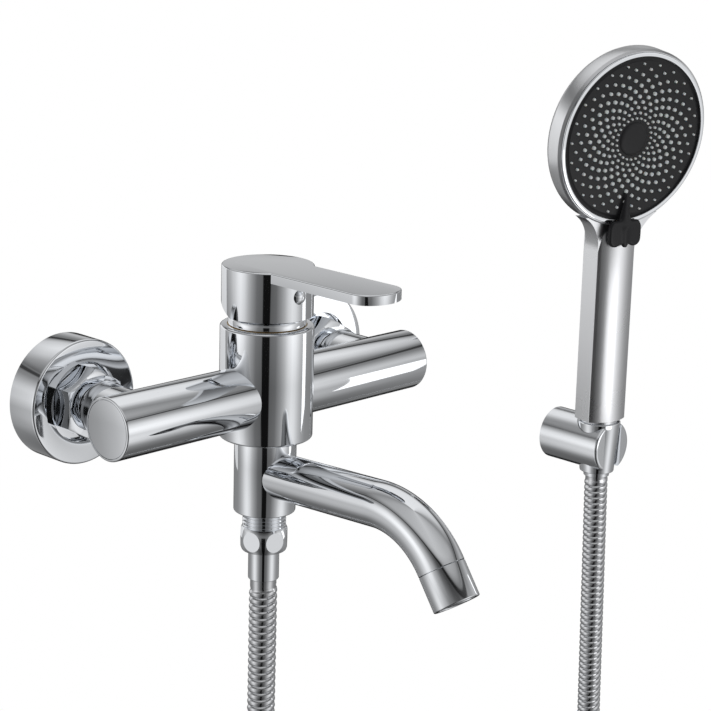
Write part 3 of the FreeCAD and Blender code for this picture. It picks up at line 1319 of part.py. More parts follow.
def water_plate():
    """Shares the water out behind the mat; its rim is open below for the selector's arm."""
    bore = FACE_SCREW_R + SEAT_GAP
    inner = WATER_PLATE_R - WATER_PLATE_RIM
    plate = turned_back([
        (bore, WATER_PLATE_FRONT), (inner, WATER_PLATE_FRONT), (inner, MAT_BACK), (WATER_PLATE_R, MAT_BACK),
        (WATER_PLATE_R, WATER_PLATE_BACK), (bore, WATER_PLATE_BACK),
    ])
    half = SLOT_HALF_WIDTH
    cuts = [block((-half, MAT_BACK, -WATER_PLATE_R), (half, WATER_PLATE_FRONT, -inner * 0.9))]
    for ring_r, count in ((PORT_RING_R, WATER_INNER_COUNT), (OUTER_PORT_RING_R, WATER_OUTER_COUNT)):
        cuts += ring_of_holes(ring_r, count, WATER_PORT_R, WATER_PLATE_FRONT, WATER_PLATE_BACK)
    return in_socket(on_head(plate.cut(cuts)))


def face_seal():
    """O-ring between the water plate and the head."""
    middle = (WATER_PLATE_R + HEAD_INNER_R) / 2
    section_r = (HEAD_INNER_R - WATER_PLATE_R) / 2 - RUNNING_GAP
    return in_socket(on_head(Part.makeTorus(middle, section_r, Vector(0, FACE_SEAL_DEPTH, 0), OUT)))


def selector_disc():
    """Turns on the face screw and opens one set of ports or another; its arm reaches the selector."""
    disc = turned_back([
        (FACE_SCREW_R + RUNNING_GAP, SWITCH_FRONT), (SWITCH_DISC_R, SWITCH_FRONT), (SWITCH_DISC_R, SWITCH_BACK),
        (FACE_SCREW_R + RUNNING_GAP, SWITCH_BACK),
    ])
    arm = block((-ARM_HALF_WIDTH, SWITCH_FRONT, -ARM_REACH), (ARM_HALF_WIDTH, SWITCH_BACK, 2 - SWITCH_DISC_R))
    holes = ring_of_holes(PORT_RING_R, SWITCH_PORT_COUNT, SWITCH_PORT_R, SWITCH_FRONT, SWITCH_BACK)
    return in_socket(on_head(disc.fuse(arm).cut(holes)))


def wedge(top, top_size, foot, foot_size):
    """Bar with a round front that changes width and depth along the head's face."""
    wires = []
    for z, (half, front, back) in ((top, top_size), (foot, foot_size)):
        left, right = Vector(-half, back, z), Vector(half, back, z)
        wires.append(Part.Wire([
            Part.Arc(left, Vector(0, front, z), right).toShape(), Part.makeLine(right, left),
        ]))
    return Part.makeLoft(wires, True, True)


def spray_selector():
    """Two-lobed pad on the neck, with a fin over the face and a finger back to the inner arm."""
    y = HANDLE_FRONT - SELECTOR_GAP
    half, top, bottom = PAD_HALF_WIDTH, PAD_TOP, PAD_BOTTOM

    def at(x, z):
        return Vector(x, y, z)

    lobe_x = half - PAD_LOBE_R
    both_radii = (lobe_x ** 2 + PAD_NOTCH ** 2) / (2 * PAD_NOTCH)
    share = PAD_LOBE_R / both_radii
    touch_x, touch_z = lobe_x * (1 - share), bottom + PAD_LOBE_R - share * (both_radii - PAD_NOTCH)
    narrow = half - PAD_TOP_INSET
    edges = [
        Part.makeLine(at(-narrow, top), at(narrow, top)),
        Part.Arc(at(-touch_x, touch_z), at(0, bottom + PAD_NOTCH), at(touch_x, touch_z)).toShape(),
    ]
    for side in (1, -1):
        wide, low = at(side * half, top - PAD_SHOULDER), at(side * half, bottom + PAD_LOBE_R)
        edges.append(Part.makeLine(at(side * narrow, top), wide))
        edges.append(Part.makeLine(wide, low))
        edges.append(Part.Arc(low, at(side * lobe_x, bottom), at(side * touch_x, touch_z)).toShape())
    outline = Part.Wire(Part.__sortEdges__(edges))
    pad = Part.Face(outline).extrude(Vector(0, -PAD_THICKNESS, 0))
    front = y - PAD_THICKNESS
    pad = rounded(pad, PAD_EDGE, lambda e: e.BoundBox.YMax < front + 1e-3)
    fin = wedge(FIN_TOP, FIN_TOP_SIZE, FIN_FOOT, FIN_FOOT_SIZE)
    ridge = wedge(FIN_FOOT, RIDGE_TOP_SIZE, FIN_FOOT - RIDGE_LENGTH, RIDGE_FOOT_SIZE)
    finger_back = SWITCH_FRONT - THREAD_GAP
    finger = block((-ARM_HALF_WIDTH, FINGER_FRONT, -ARM_REACH), (ARM_HALF_WIDTH, finger_back, FINGER_TOP))
    return in_socket(pad.fuse([on_head(fin), on_head(ridge), on_head(finger)]))


def nodes():
    """Every node's name and shape."""
    made = {}
    for word, side in (("left", -1), ("right", 1)):
        made["arm_plug_" + word] = arm_plug(side)
        made["escutcheon_" + word] = escutcheon(side)
        made["eccentric_union_" + word] = eccentric_union(side)
        made["union_nut_" + word] = union_nut(side)
        made["inlet_tail_" + word] = inlet_tail(side)
    for maker in (
        body_casting, union_washers, cartridge_base, cartridge_seals, fixed_disc, moving_disc, disc_carrier,
        cartridge_housing, stem_rotor, stem_pin, lever_stem, cartridge_nut, bonnet, lever_handle, grub_screw,
        screw_cover, outlet_core, spout_o_rings, spout, aerator_housing, aerator_insert, aerator_washer, glide_ring,
        hose_nipple, hose_nut, hose_washer, hose_ferrule, hose_tube, cone_ferrule, hose_cone, cone_washer, hand_inlet,
        handset_shell, head_rim, face_plate, nozzle_mat, centre_disc, face_screw, water_plate, face_seal,
        selector_disc, spray_selector, bracket_body, bracket_base, bracket_lock_screw,
    ):
        made[maker.__name__] = maker()
    return made


def main():
    os.makedirs("parts", exist_ok=True)
    for name, shape in nodes().items():
        print(name, shape.isValid(), len(shape.Solids), round(shape.Volume))
        shape.exportStep("parts/" + name + ".step")


main()
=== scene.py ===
"""Dresses the packed bath mixer: polished metal, ribbed hose, black spray face and a plain studio.

Blender works in metres. The frame's origin lies on the wall midway between the two inlets, X runs
along the wall, +Y goes into the wall and +Z is up. Sizes are written in millimetres through MM.
"""
import math
from functools import cache

import bpy
from mathutils import Matrix, Vector


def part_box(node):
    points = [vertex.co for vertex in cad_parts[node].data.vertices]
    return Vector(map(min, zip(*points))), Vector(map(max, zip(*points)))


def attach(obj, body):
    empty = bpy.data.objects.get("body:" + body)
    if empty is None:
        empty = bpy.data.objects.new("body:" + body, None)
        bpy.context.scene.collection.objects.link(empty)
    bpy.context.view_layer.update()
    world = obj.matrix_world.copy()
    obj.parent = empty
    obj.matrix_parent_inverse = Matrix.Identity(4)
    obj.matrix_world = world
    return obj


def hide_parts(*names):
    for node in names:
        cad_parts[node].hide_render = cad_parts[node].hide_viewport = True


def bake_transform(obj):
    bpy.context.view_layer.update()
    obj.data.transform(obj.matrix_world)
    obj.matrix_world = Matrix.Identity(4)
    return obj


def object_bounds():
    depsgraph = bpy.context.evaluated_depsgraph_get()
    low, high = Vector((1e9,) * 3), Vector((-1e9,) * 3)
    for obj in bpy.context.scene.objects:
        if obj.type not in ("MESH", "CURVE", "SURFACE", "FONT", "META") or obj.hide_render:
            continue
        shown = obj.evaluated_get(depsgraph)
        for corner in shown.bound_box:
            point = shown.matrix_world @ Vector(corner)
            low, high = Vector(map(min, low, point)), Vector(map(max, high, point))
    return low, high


bl_info = {
    "name": "Bath mixer",
    "version": (1, 0, 0),
    "blender": (4, 5, 0),
    "location": "View3D > Sidebar > Mixer",
    "description": "Builds the looks of a wall-held bath mixer around its packed frame",
    "category": "Object",
}

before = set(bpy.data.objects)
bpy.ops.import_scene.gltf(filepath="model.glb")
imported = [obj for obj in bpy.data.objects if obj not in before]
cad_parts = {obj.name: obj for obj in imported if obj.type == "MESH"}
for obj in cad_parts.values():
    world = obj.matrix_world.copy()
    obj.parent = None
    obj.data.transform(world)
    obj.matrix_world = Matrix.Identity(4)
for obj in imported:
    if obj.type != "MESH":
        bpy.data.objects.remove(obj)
CAD_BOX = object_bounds()

MM = 0.001
UP = Vector((0, 0, 1))
OUT = Vector((0, -1, 0))
RIGHT = Vector((1, 0, 0))
PHOTO_SIZE = 711
SENSOR_WIDTH = 36.0
SIDES = (("left", -1), ("right", 1))


def middle_of(node):
    """The middle of a node's box at rest."""
    low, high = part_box(node)
    return (low + high) / 2


BODY = Vector((middle_of("bonnet").x, middle_of("bonnet").y, middle_of("arm_plug_left").z))
SOCKET = Vector((middle_of("hose_cone").x, middle_of("hose_cone").y, middle_of("bracket_body").z))
INLET_X = middle_of("escutcheon_right").x
UPRIGHT = Matrix.Translation(BODY)
HANGING = Matrix.Translation(SOCKET)


# what a user can change

def length(name, description, millimetres):
    """A size, kept in metres and written in millimetres."""
    return bpy.props.FloatProperty(
        name=name, description=description, default=millimetres * MM, subtype="DISTANCE", unit="LENGTH")


def angle(name, description, degrees):
    return bpy.props.FloatProperty(
        name=name, description=description, default=math.radians(degrees), subtype="ANGLE", unit="ROTATION")


def colour(name, description, value):
    return bpy.props.FloatVectorProperty(
        name=name, description=description, default=value, size=3, subtype="COLOR", min=0.0, max=1.0)


def number(name, description, value):
    return bpy.props.FloatProperty(name=name, description=description, default=value)


class BodySizes(bpy.types.PropertyGroup):
    """Body with its arms and inlet bosses; heights are above the arms' axis."""
    barrel_radius: length("Barrel radius", "Half the width of the upright barrel", 22.0)
    barrel_top: length("Barrel top", "Height of the barrel's upper face", 33.0)
    barrel_bottom: length("Barrel bottom", "Height of the barrel's lower face", -21.0)
    barrel_edge: length("Barrel edge", "Rounding of the barrel's rims", 1.2)
    arm_radius: length("Arm radius", "Half the width of the arms", 14.6)
    arm_reach: length("Arm reach", "Distance of an arm's end from the barrel's axis", 95.0)
    arm_edge: length("Arm edge", "Rounding of the arms' rims", 0.8)
    plug_radius: length("Plug radius", "Half the width of an arm's plug", 13.3)
    boss_radius: length("Boss radius", "Half the width of an inlet boss", 12.2)
    boss_front: length("Boss front", "Distance of a boss's face from the wall", 33.5)


class WallSizes(bpy.types.PropertyGroup):
    """Escutcheons, unions and nuts; depths are distances from the wall."""
    cup_radius: length("Cup radius", "Half the width of an escutcheon", 29.2)
    cup_depth: length("Cup depth", "How far an escutcheon stands out", 17.2)
    cup_edge: length("Cup edge", "Rounding of an escutcheon's rim", 1.1)
    cup_wall: length("Cup wall", "Thickness of an escutcheon's sheet", 1.4)
    hole_radius: length("Hole radius", "Hole in an escutcheon's front", 18.6)
    nut_flats: length("Nut flats", "Union nut across its flats", 30.0)
    nut_back: length("Nut back", "Distance of a union nut's back from the wall", 14.6)
    nut_front: length("Nut front", "Distance of a union nut's front from the wall", 25.6)


class SpoutSizes(bpy.types.PropertyGroup):
    """Swivelling spout; heights are above the arms' axis."""
    sleeve_radius: length("Sleeve radius", "Half the width of the sleeve under the body", 14.7)
    sleeve_top: length("Sleeve top", "Height of the sleeve's upper face", -21.3)
    sleeve_bottom: length("Sleeve bottom", "Height of the sleeve's lower face", -57.7)
    tube_radius: length("Tube radius", "Half the width of the tube", 10.9)
    tube_wall: length("Tube wall", "Thickness of the tube", 1.8)
    root: length("Root", "Height at which the tube leaves the sleeve's axis", -39.2)
    rise: angle("Rise", "Slope of the straight part", 2.5)
    straight: length("Straight", "Distance from the sleeve's axis to the bend", 74.5)
    bend_radius: length("Bend radius", "Radius of the bend's centreline", 45.0)
    fall: angle("Fall", "Slope of the mouth", 55.0)
    end_length: length("End length", "Straight part after the bend, with the aerator", 18.0)
    aerator_length: length("Aerator length", "Length of the screwed end", 17.2)


class HoseSizes(bpy.types.PropertyGroup):
    """Ribbed hose and its fittings."""
    radius: length("Radius", "Half the width over the ribs", 6.75)
    valley: length("Valley", "How deep the grooves between the ribs are", 0.75)
    pitch: length("Pitch", "Distance from rib to rib", 3.5)
    plain_end: length("Plain end", "Smooth stretch inside each ferrule", 3.0)
    ferrule_radius: length("Ferrule radius", "Half the width of a crimped sleeve", 7.4)


class HandShowerSizes(bpy.types.PropertyGroup):
    """Hand shower; heights are above the bracket's axis, depths behind the spray face."""
    turn: angle("Turn", "Turn of the hand shower in its socket", -14.0)
    head_height: length("Head height", "Height of the head's middle", 180.0)
    head_forward: length("Head forward", "How far the face stands in front of the socket's axis", 16.5)
    head_tilt: angle("Head tilt", "Tilt of the face towards the bath", 7.5)
    rim_radius: length("Rim radius", "Half the width of the bright ring", 48.9)
    face_radius: length("Face radius", "Half the width of the black face", 46.5)
    centre_radius: length("Centre radius", "Half the width of the middle disc", 9.6)
    nozzle_small: length("Small nozzle", "Radius of the smallest nozzles", 0.75)
    nozzle_large: length("Large nozzle", "Radius of the largest nozzles", 1.3)
    nozzle_rise: length("Nozzle rise", "How far the nozzles stand out of the face", 0.9)
    border: length("Border", "Width of the sloped border round the nozzles", 2.6)
    border_drop: length("Border drop", "How far the border slopes back", 0.9)
    first_ring: length("First ring", "Radius of the innermost ring of nozzles", 11.8)
    last_ring: length("Last ring", "Radius of the outermost ring of nozzles", 42.5)
    twist: angle("Twist", "Turn from one ring of nozzles to the next", 7.5)


class Finishes(bpy.types.PropertyGroup):
    """Colours of the finishes."""
    chrome: colour("Chrome", "Polished chrome of the mixer", (0.90, 0.92, 0.95))
    plated: colour("Plated plastic", "Satin chrome of the hand shower", (0.86, 0.87, 0.89))
    hose_metal: colour("Hose metal", "Strip-wound steel of the hose", (0.72, 0.73, 0.75))
    black: colour("Black plastic", "Spray face and selector", (0.008, 0.008, 0.009))
    nozzles: colour("Nozzles", "Soft silicone of the nozzles", (0.36, 0.36, 0.36))
    brass: colour("Brass", "Bare brass inside", (0.62, 0.45, 0.20))


class Studio(bpy.types.PropertyGroup):
    """Camera and reflections."""
    azimuth: angle("Azimuth", "Side from which the camera looks", -45.664)
    elevation: angle("Elevation", "Height from which the camera looks", 14.674)
    roll: angle("Roll", "Turn of the camera about its own axis", 1.508)
    distance: length("Distance", "From the camera to the mixer's axis", 1000.0)
    focal_pixels: number("Focal length", "Focal length in pixels of the picture", 2140.748)
    target_x: number("Axis across", "Where the mixer's axis lies across the picture", 266.2)
    target_y: number("Axis down", "Where the arms' axis lies down the picture", 391.843)


GROUPS = (
    ("mixer_body", BodySizes), ("mixer_wall", WallSizes), ("mixer_spout", SpoutSizes), ("mixer_hose", HoseSizes),
    ("mixer_hand", HandShowerSizes), ("mixer_finish", Finishes), ("mixer_studio", Studio),
)


# modelling helpers

def deselect():
    if bpy.context.object and bpy.context.object.mode != "OBJECT":
        bpy.ops.object.mode_set(mode="OBJECT")
    bpy.ops.object.select_all(action="DESELECT")


def activate(obj):
    """Select one piece alone and make it the active one."""
    deselect()
    obj.select_set(True)
    bpy.context.view_layer.objects.active = obj


def edit(obj):
    """Start editing one piece with all of it selected."""
    activate(obj)
    bpy.ops.object.mode_set(mode="EDIT")
    bpy.ops.mesh.select_all(action="SELECT")


def close_up(obj, recalculate=True):
    """Merge doubles and turn the faces outwards."""
    edit(obj)
    bpy.ops.mesh.remove_doubles(threshold=1e-6)
    if recalculate:
        bpy.ops.mesh.normals_make_consistent(inside=False)
    bpy.ops.object.mode_set(mode="OBJECT")


def apply_place(obj):
    activate(obj)
    bpy.ops.object.transform_apply(location=True, rotation=True, scale=True)


def place(obj, matrix):
    """Move a piece and keep the move in its mesh."""
    obj.matrix_world = matrix
    bpy.context.view_layer.update()
    apply_place(obj)
    return obj


def along(at, direction):
    """Matrix that takes Z to a direction and the origin to a point."""
    return Matrix.Translation(at) @ UP.rotation_difference(direction).to_matrix().to_4x4()


def in_mm(points):
    """Outline points written in millimetres."""
    return [tuple(value * MM for value in point) for point in points]


def heights(node, origin):
    """The lowest and highest point of a node, above a point."""
    low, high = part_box(node)
    return low.z - origin.z, high.z - origin.z


def softened(points, steps=4):
    """A closed outline of (across, up) points, each with an optional rounding as a third number."""
    outline = []
    count = len(points)
    for k, point in enumerate(points):
        here = Vector(point[:2])
        if len(point) < 3:
            outline.append(here)
            continue
        back = (Vector(points[k - 1][:2]) - here).normalized()
        ahead = (Vector(points[(k + 1) % count][:2]) - here).normalized()
        half = back.angle(ahead) / 2
        centre = here + (back + ahead).normalized() * (point[2] / math.sin(half))
        start = here + back * (point[2] / math.tan(half)) - centre
        sweep = start.angle_signed(here + ahead * (point[2] / math.tan(half)) - centre)
        for step in range(steps + 1):
            outline.append(centre + Matrix.Rotation(-sweep * step / steps, 2) @ start)
    return outline


def arc_through(start, middle, end, steps=10):
    """Points on the circle through three (across, up) points, without the first."""
    a, b, c = Vector(start), Vector(middle), Vector(end)
    spread = 2 * (a.x * (b.y - c.y) + b.x * (c.y - a.y) + c.x * (a.y - b.y))
    centre = Vector((
        (a.length_squared * (b.y - c.y) + b.length_squared * (c.y - a.y) + c.length_squared * (a.y - b.y)) / spread,
        (a.length_squared * (c.x - b.x) + b.length_squared * (a.x - c.x) + c.length_squared * (b.x - a.x)) / spread,
    ))
    sweep = (a - centre).angle_signed(c - centre)
    return [tuple(centre + Matrix.Rotation(-sweep * k / steps, 2) @ (a - centre)) for k in range(1, steps + 1)]


def turned(name, profile, matrix=Matrix(), segments=128, closed=True):
    """Spin an outline of (radius, height) points round Z; points on the axis close its poles."""
    deselect()
    bpy.ops.mesh.primitive_circle_add(vertices=3, radius=MM, location=(0, 0, 0))
    obj = bpy.context.object
    obj.name = name
    edit(obj)
    bpy.ops.mesh.merge(type="CENTER")
    last = Vector((profile[0][0], 0, profile[0][1]))
    bpy.ops.transform.translate(value=last)
    for point in list(profile[1:]) + ([profile[0]] if closed else []):
        step = Vector((point[0], 0, point[1])) - last
        bpy.ops.mesh.extrude_vertices_move(TRANSFORM_OT_translate={"value": step})
        last += step
    bpy.ops.mesh.select_all(action="SELECT")
    bpy.ops.mesh.spin(steps=segments, angle=2 * math.pi, center=(0, 0, 0), axis=(0, 0, 1))
    bpy.ops.object.mode_set(mode="OBJECT")
    close_up(obj)
    return place(obj, matrix)


def pillar(name, radius, low, high, matrix=Matrix(), edge=0.0, segments=128):
    """A round bar with softened rims."""
    rim = (edge,) if edge else ()
    outline = softened([(0, low), (radius, low) + rim, (radius, high) + rim, (0, high)])
    return turned(name, outline, matrix, segments, closed=False)


def combine(obj, other, operation):
    """Join, cut or intersect one piece with another, which is used up."""
    activate(obj)
    modifier = obj.modifiers.new("combine", "BOOLEAN")
    modifier.operation = operation
    modifier.object = other
    modifier.solver = "EXACT"
    bpy.ops.object.modifier_apply(modifier=modifier.name)
    bpy.data.objects.remove(other)


def bevel(obj, chosen, offset, segments):
    """Soften the edges whose two ends pass a test."""
    edit(obj)
    bpy.ops.mesh.select_all(action="DESELECT")
    bpy.ops.object.mode_set(mode="OBJECT")
    for edge in obj.data.edges:
        edge.select = chosen([obj.data.vertices[v].co for v in edge.vertices])
    bpy.ops.object.mode_set(mode="EDIT")
    bpy.ops.mesh.bevel(offset=offset, segments=segments, affect="EDGES")
    bpy.ops.object.mode_set(mode="OBJECT")


def hexagon(name, flats, low, high, matrix, chamfer, bore, turn=0.0, edge=0.35 * MM, body=None):
    """A nut with a bore: six softened corners turned down at both ends, or six flats on a barrel."""
    corner = flats / math.sqrt(3)
    deselect()
    bpy.ops.mesh.primitive_cylinder_add(
        vertices=6, radius=corner, depth=high - low, location=(0, 0, (low + high) / 2), rotation=(0, 0, turn))
    nut = bpy.context.object
    nut.name = name
    apply_place(nut)
    bevel(nut, lambda ends: abs(ends[0].z - ends[1].z) > (high - low) / 2, edge, 3)
    if body:
        rim = body - chamfer
        outline = [(0, low), (rim, low)] + arc_through((rim, low), (body, (low + high) / 2), (rim, high), 20)
    else:
        rim = flats / 2 - 0.2 * MM
        outline = [(0, low), (rim, low), (corner, low + chamfer), (corner, high - chamfer), (rim, high)]
    blank = turned("blank", outline + [(0, high)], closed=False)
    combine(nut, blank, "INTERSECT")
    combine(nut, pillar("hole", bore, low - MM, high + MM), "DIFFERENCE")
    return place(nut, matrix)


def copied(name, node):
    """A merged copy of a node's mesh, to be used as a piece."""
    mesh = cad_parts[node].data.copy()
    mesh.materials.clear()
    obj = bpy.data.objects.new(name, mesh)
    bpy.context.scene.collection.objects.link(obj)
    if mesh.has_custom_normals:
        activate(obj)
        bpy.ops.mesh.customdata_custom_splitnormals_clear()
    close_up(obj, recalculate=False)
    edit(obj)
    bpy.ops.mesh.dissolve_limited(angle_limit=math.radians(0.1))
    bpy.ops.object.mode_set(mode="OBJECT")
    return obj


def fitted(obj, look, body, node, degrees=30.0):
    """Finish a piece: its shading, its material, the body that carries it and the node it stands for."""
    activate(obj)
    bpy.ops.object.shade_smooth_by_angle(angle=math.radians(degrees))
    obj.data.materials.clear()
    obj.data.materials.append(finish(look))
    if body:
        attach(obj, body)
    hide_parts(node)


# materials

# By group: its inputs, then the detail of both noises, the bump's height and the noises' scales.
TEXTURES = {
    "Polish": ("Haze low", "Haze high", "Waviness", (4.0, 1.0), 0.02 * MM, (45.0, 70.0)),
    "Grain": ("Roughness low", "Roughness high", "Depth", (3.0, 3.0), 0.05 * MM, None),
}
METAL = {"Metallic": 1.0}

# By finish or record slot: the material's name, its colour or the colour's field, other values on the
# shader, its group and what the group's inputs get, in their order.
LOOKS = {
    "polished_chrome": ("Polished chrome", "chrome", METAL, "Polish", (0.03, 0.06, 0.15)),
    "plated_plastic": ("Plated plastic", "plated", METAL, "Polish", (0.25, 0.31, 0.1)),
    "soft_chrome": ("Satin chrome", "chrome", METAL, "Polish", (0.13, 0.18, 0.1)),
    "hose_metal": ("Hose metal", "hose_metal", METAL, "Polish", (0.10, 0.18, 0.1)),
    "black_plastic": (
        "Black plastic", "black", {"Specular IOR Level": 0.3}, "Grain", (0.32, 0.46, 0.25, 1800.0)),
    "glossy_black": (
        "Glossy black", "black", {"Specular IOR Level": 0.22}, "Grain", (0.2, 0.28, 0.05, 1200.0)),
    "grey_silicone": (
        "Nozzle silicone", "nozzles", {"Subsurface Weight": 0.1}, "Grain", (0.45, 0.6, 0.1, 900.0)),
    "rough_brass": ("Bare brass", "brass", METAL, "Grain", (0.28, 0.5, 0.3, 700.0)),
    "satin_chrome": ("Satin chrome", (0.80, 0.81, 0.83), METAL, "Grain", (0.2, 0.3, 0.15, 900.0)),
    "steel": ("Zinc-plated steel", (0.70, 0.71, 0.73), METAL, "Grain", (0.25, 0.4, 0.15, 900.0)),
    "ceramic": ("Ceramic", (0.86, 0.86, 0.84), {}, "Grain", (0.12, 0.2, 0.15, 300.0)),
    "white_plastic": ("White plastic", (0.80, 0.80, 0.78), {}, "Grain", (0.3, 0.42, 0.15, 900.0)),
    "grey_plastic": ("Grey plastic", (0.40, 0.41, 0.42), {}, "Grain", (0.35, 0.5, 0.15, 900.0)),
    "black_rubber": ("Black rubber", (0.02, 0.02, 0.02), {}, "Grain", (0.6, 0.75, 0.15, 900.0)),
}


def feed(tree, socket, value):
    """Link an input to an output, or set it to a plain value."""
    if isinstance(value, bpy.types.NodeSocket):
        tree.links.new(value, socket)
    elif value is not None:
        socket.default_value = value


def add(tree, kind, settings=None, **inputs):
    """A new shader node with its settings, its inputs fed by name."""
    node = tree.nodes.new("ShaderNode" + kind)
    for name, value in (settings or {}).items():
        setattr(node, name, value)
    for name, value in inputs.items():
        feed(tree, node.inputs[name.replace("_", " ")], value)
    return node


@cache
def texture_group(name):
    """A group in which one noise spreads the roughness and one bumps the surface."""
    low, high, depth, details, distance, scales = TEXTURES[name]
    group = bpy.data.node_groups.new(name, "ShaderNodeTree")
    socket = group.interface.new_socket
    socket(name="Vector", in_out="INPUT", socket_type="NodeSocketVector")
    for each in (low, high, depth) + (() if scales else ("Scale",)):
        socket(name=each, in_out="INPUT", socket_type="NodeSocketFloat")
    socket(name="Roughness", in_out="OUTPUT", socket_type="NodeSocketFloat")
    socket(name="Normal", in_out="OUTPUT", socket_type="NodeSocketVector")
    given = group.nodes.new("NodeGroupInput").outputs
    result = group.nodes.new("NodeGroupOutput").inputs
    rough, bumpy = [
        add(group, "TexNoise", Vector=given["Vector"], Scale=scale, Detail=detail).outputs["Fac"]
        for detail, scale in zip(details, scales or [given["Scale"]] * 2)]
    spread = add(group, "MapRange", Value=rough, To_Min=given[low], To_Max=given[high])
    bump = add(group, "Bump", Strength=given[depth], Distance=distance, Height=bumpy)
    feed(group, result["Roughness"], spread.outputs["Result"])
    feed(group, result["Normal"], bump.outputs["Normal"])
    return group


@cache
def finish(look):
    """A Principled material whose plain values sit on the shader and whose texture is a group."""
    name, base, values, kind, settings = LOOKS[look]
    if isinstance(base, str):
        base = tuple(getattr(bpy.context.scene.mixer_finish, base))
    material = bpy.data.materials.new(name)
    material.use_nodes = True
    tree = material.node_tree
    shader = tree.nodes["Principled BSDF"]
    for socket, value in {"Base Color": base + (1.0,), **values}.items():
        shader.inputs[socket].default_value = value
    place_of = add(tree, "TexCoord").outputs["Object"]
    texture = add(tree, "Group", {"node_tree": texture_group(kind)}, Vector=place_of)
    for socket, value in zip(texture.inputs[1:], settings):
        socket.default_value = value
    for socket in ("Roughness", "Normal"):
        tree.links.new(texture.outputs[socket], shader.inputs[socket])
    return material


# pieces of the mixer

class MIXER_OT_body(bpy.types.Operator):
    """Barrel with its two arms, the inlet bosses and the plugs in the arms' ends"""
    bl_idname = "mixer.body"
    bl_label = "Body"

    def execute(self, context):
        size = context.scene.mixer_body
        casting = pillar("body", size.barrel_radius, size.barrel_bottom, size.barrel_top, UPRIGHT,
                         size.barrel_edge, 192)
        arms = pillar("arms", size.arm_radius, -size.arm_reach, size.arm_reach, along(BODY, RIGHT),
                      size.arm_edge, 192)
        combine(casting, arms, "UNION")
        for _, side in SIDES:
            root = along(Vector((side * INLET_X, 0, BODY.z)), OUT)
            boss = pillar("boss", size.boss_radius, size.boss_front, -BODY.y, root)
            combine(casting, boss, "UNION")
        seat, nut_seat = 17.6, 18.7
        floor, nut_floor, past_top = 8, 28.9, 34
        cavity = turned("cavity", in_mm([
            (0, floor), (seat, floor), (seat, nut_floor), (nut_seat, nut_floor), (nut_seat, past_top), (0, past_top),
        ]), UPRIGHT, closed=False)
        combine(casting, cavity, "DIFFERENCE")
        core_seat, throat = 10.65, 9.5
        past_bottom, core_top, throat_top = -22, -11, -8
        chamber = turned("chamber", in_mm([
            (0, past_bottom), (core_seat, past_bottom), (core_seat, core_top), (throat, core_top),
            (throat, throat_top), (0, throat_top),
        ]), UPRIGHT, closed=False)
        combine(casting, chamber, "DIFFERENCE")
        recess, lip, bore, depth = size.plug_radius + 0.1 * MM, 1.6 * MM, 10.5 * MM, 65 * MM
        for _, side in SIDES:
            end = BODY + RIGHT * side * size.arm_reach
            hollow = turned("hollow", [
                (0, -MM), (recess, -MM), (recess, lip), (bore, lip), (bore, depth), (0, depth),
            ], along(end, RIGHT * -side), closed=False)
            combine(casting, hollow, "DIFFERENCE")
        fitted(casting, "polished_chrome", "fixed", "body_casting")
        skirt, skirt_back, hole, hole_front = 10.4 * MM, 8.6 * MM, 6 * MM, 3.6 * MM
        for word, side in SIDES:
            end = BODY + RIGHT * side * size.arm_reach
            plug = turned("arm_cap_" + word, softened([
                (0, 0), (size.plug_radius, 0, 0.3 * MM), (size.plug_radius, lip), (skirt, lip),
                (skirt, skirt_back), (hole, skirt_back), (hole, hole_front), (0, hole_front),
            ]), along(end, RIGHT * -side), closed=False)
            fitted(plug, "polished_chrome", "fixed", "arm_plug_" + word)
        return {"FINISHED"}


class MIXER_OT_wall_connections(bpy.types.Operator):
    """Escutcheons, union nuts, inlet tails and the unions behind them"""
    bl_idname = "mixer.wall_connections"
    bl_label = "Wall connections"

    def execute(self, context):
        size = context.scene.mixer_wall
        boss_front = context.scene.mixer_body.boss_front
        for word, side in SIDES:
            wall = along(Vector((side * INLET_X, 0, BODY.z)), OUT)
            outer, front, hole = size.cup_radius, size.cup_depth, size.hole_radius
            inner, shelf = outer - size.cup_wall, front - size.cup_wall
            collar, collar_end = hole + 1.6 * MM, front - 6 * MM
            cup = turned("wall_cup_" + word, softened([
                (inner, 0), (outer, 0), (outer, front, size.cup_edge), (hole, front, 0.3 * MM), (hole, collar_end),
                (collar, collar_end), (collar, shelf), (inner, shelf),
            ], 6), wall, 160)
            fitted(cup, "polished_chrome", "fixed", "escutcheon_" + word)
            nut = hexagon("wall_nut_" + word, size.nut_flats, size.nut_back, size.nut_front, wall, 1.2 * MM, 9.8 * MM)
            fitted(nut, "polished_chrome", "fixed", "union_nut_" + word)
            way, spigot, neck, flange, ring = 6.5 * MM, 9.0 * MM, 9.5 * MM, 12.6 * MM, 12.9 * MM
            back, flange_front, ring_back, end = 21.5 * MM, 23.3 * MM, boss_front - 3.2 * MM, boss_front + 9 * MM
            tail = turned("wall_tail_" + word, softened([
                (way, back), (flange, back), (flange, flange_front), (neck, flange_front), (neck, ring_back),
                (ring, ring_back, 0.5 * MM), (ring, boss_front), (spigot, boss_front), (spigot, end), (way, end),
            ]), wall)
            fitted(tail, "polished_chrome", "fixed", "inlet_tail_" + word)
            low_wall = along(Vector((side * INLET_X, 0, 0)), OUT)
            union = turned("wall_union_" + word, softened(in_mm([
                (0, 8.4), (9, 8.4), (9, 20), (13.2, 20, 0.4), (13.2, 14), (18.5, 14, 0.4), (18.5, 7), (0, 7),
            ])), wall, closed=False)
            combine(union, pillar("stub", 10.45 * MM, -18 * MM, 8 * MM, low_wall), "UNION")
            combine(union, pillar("way", 7 * MM, -20 * MM, 9.8 * MM, low_wall), "DIFFERENCE")
            fitted(union, "polished_chrome", "fixed", "eccentric_union_" + word)
        return {"FINISHED"}


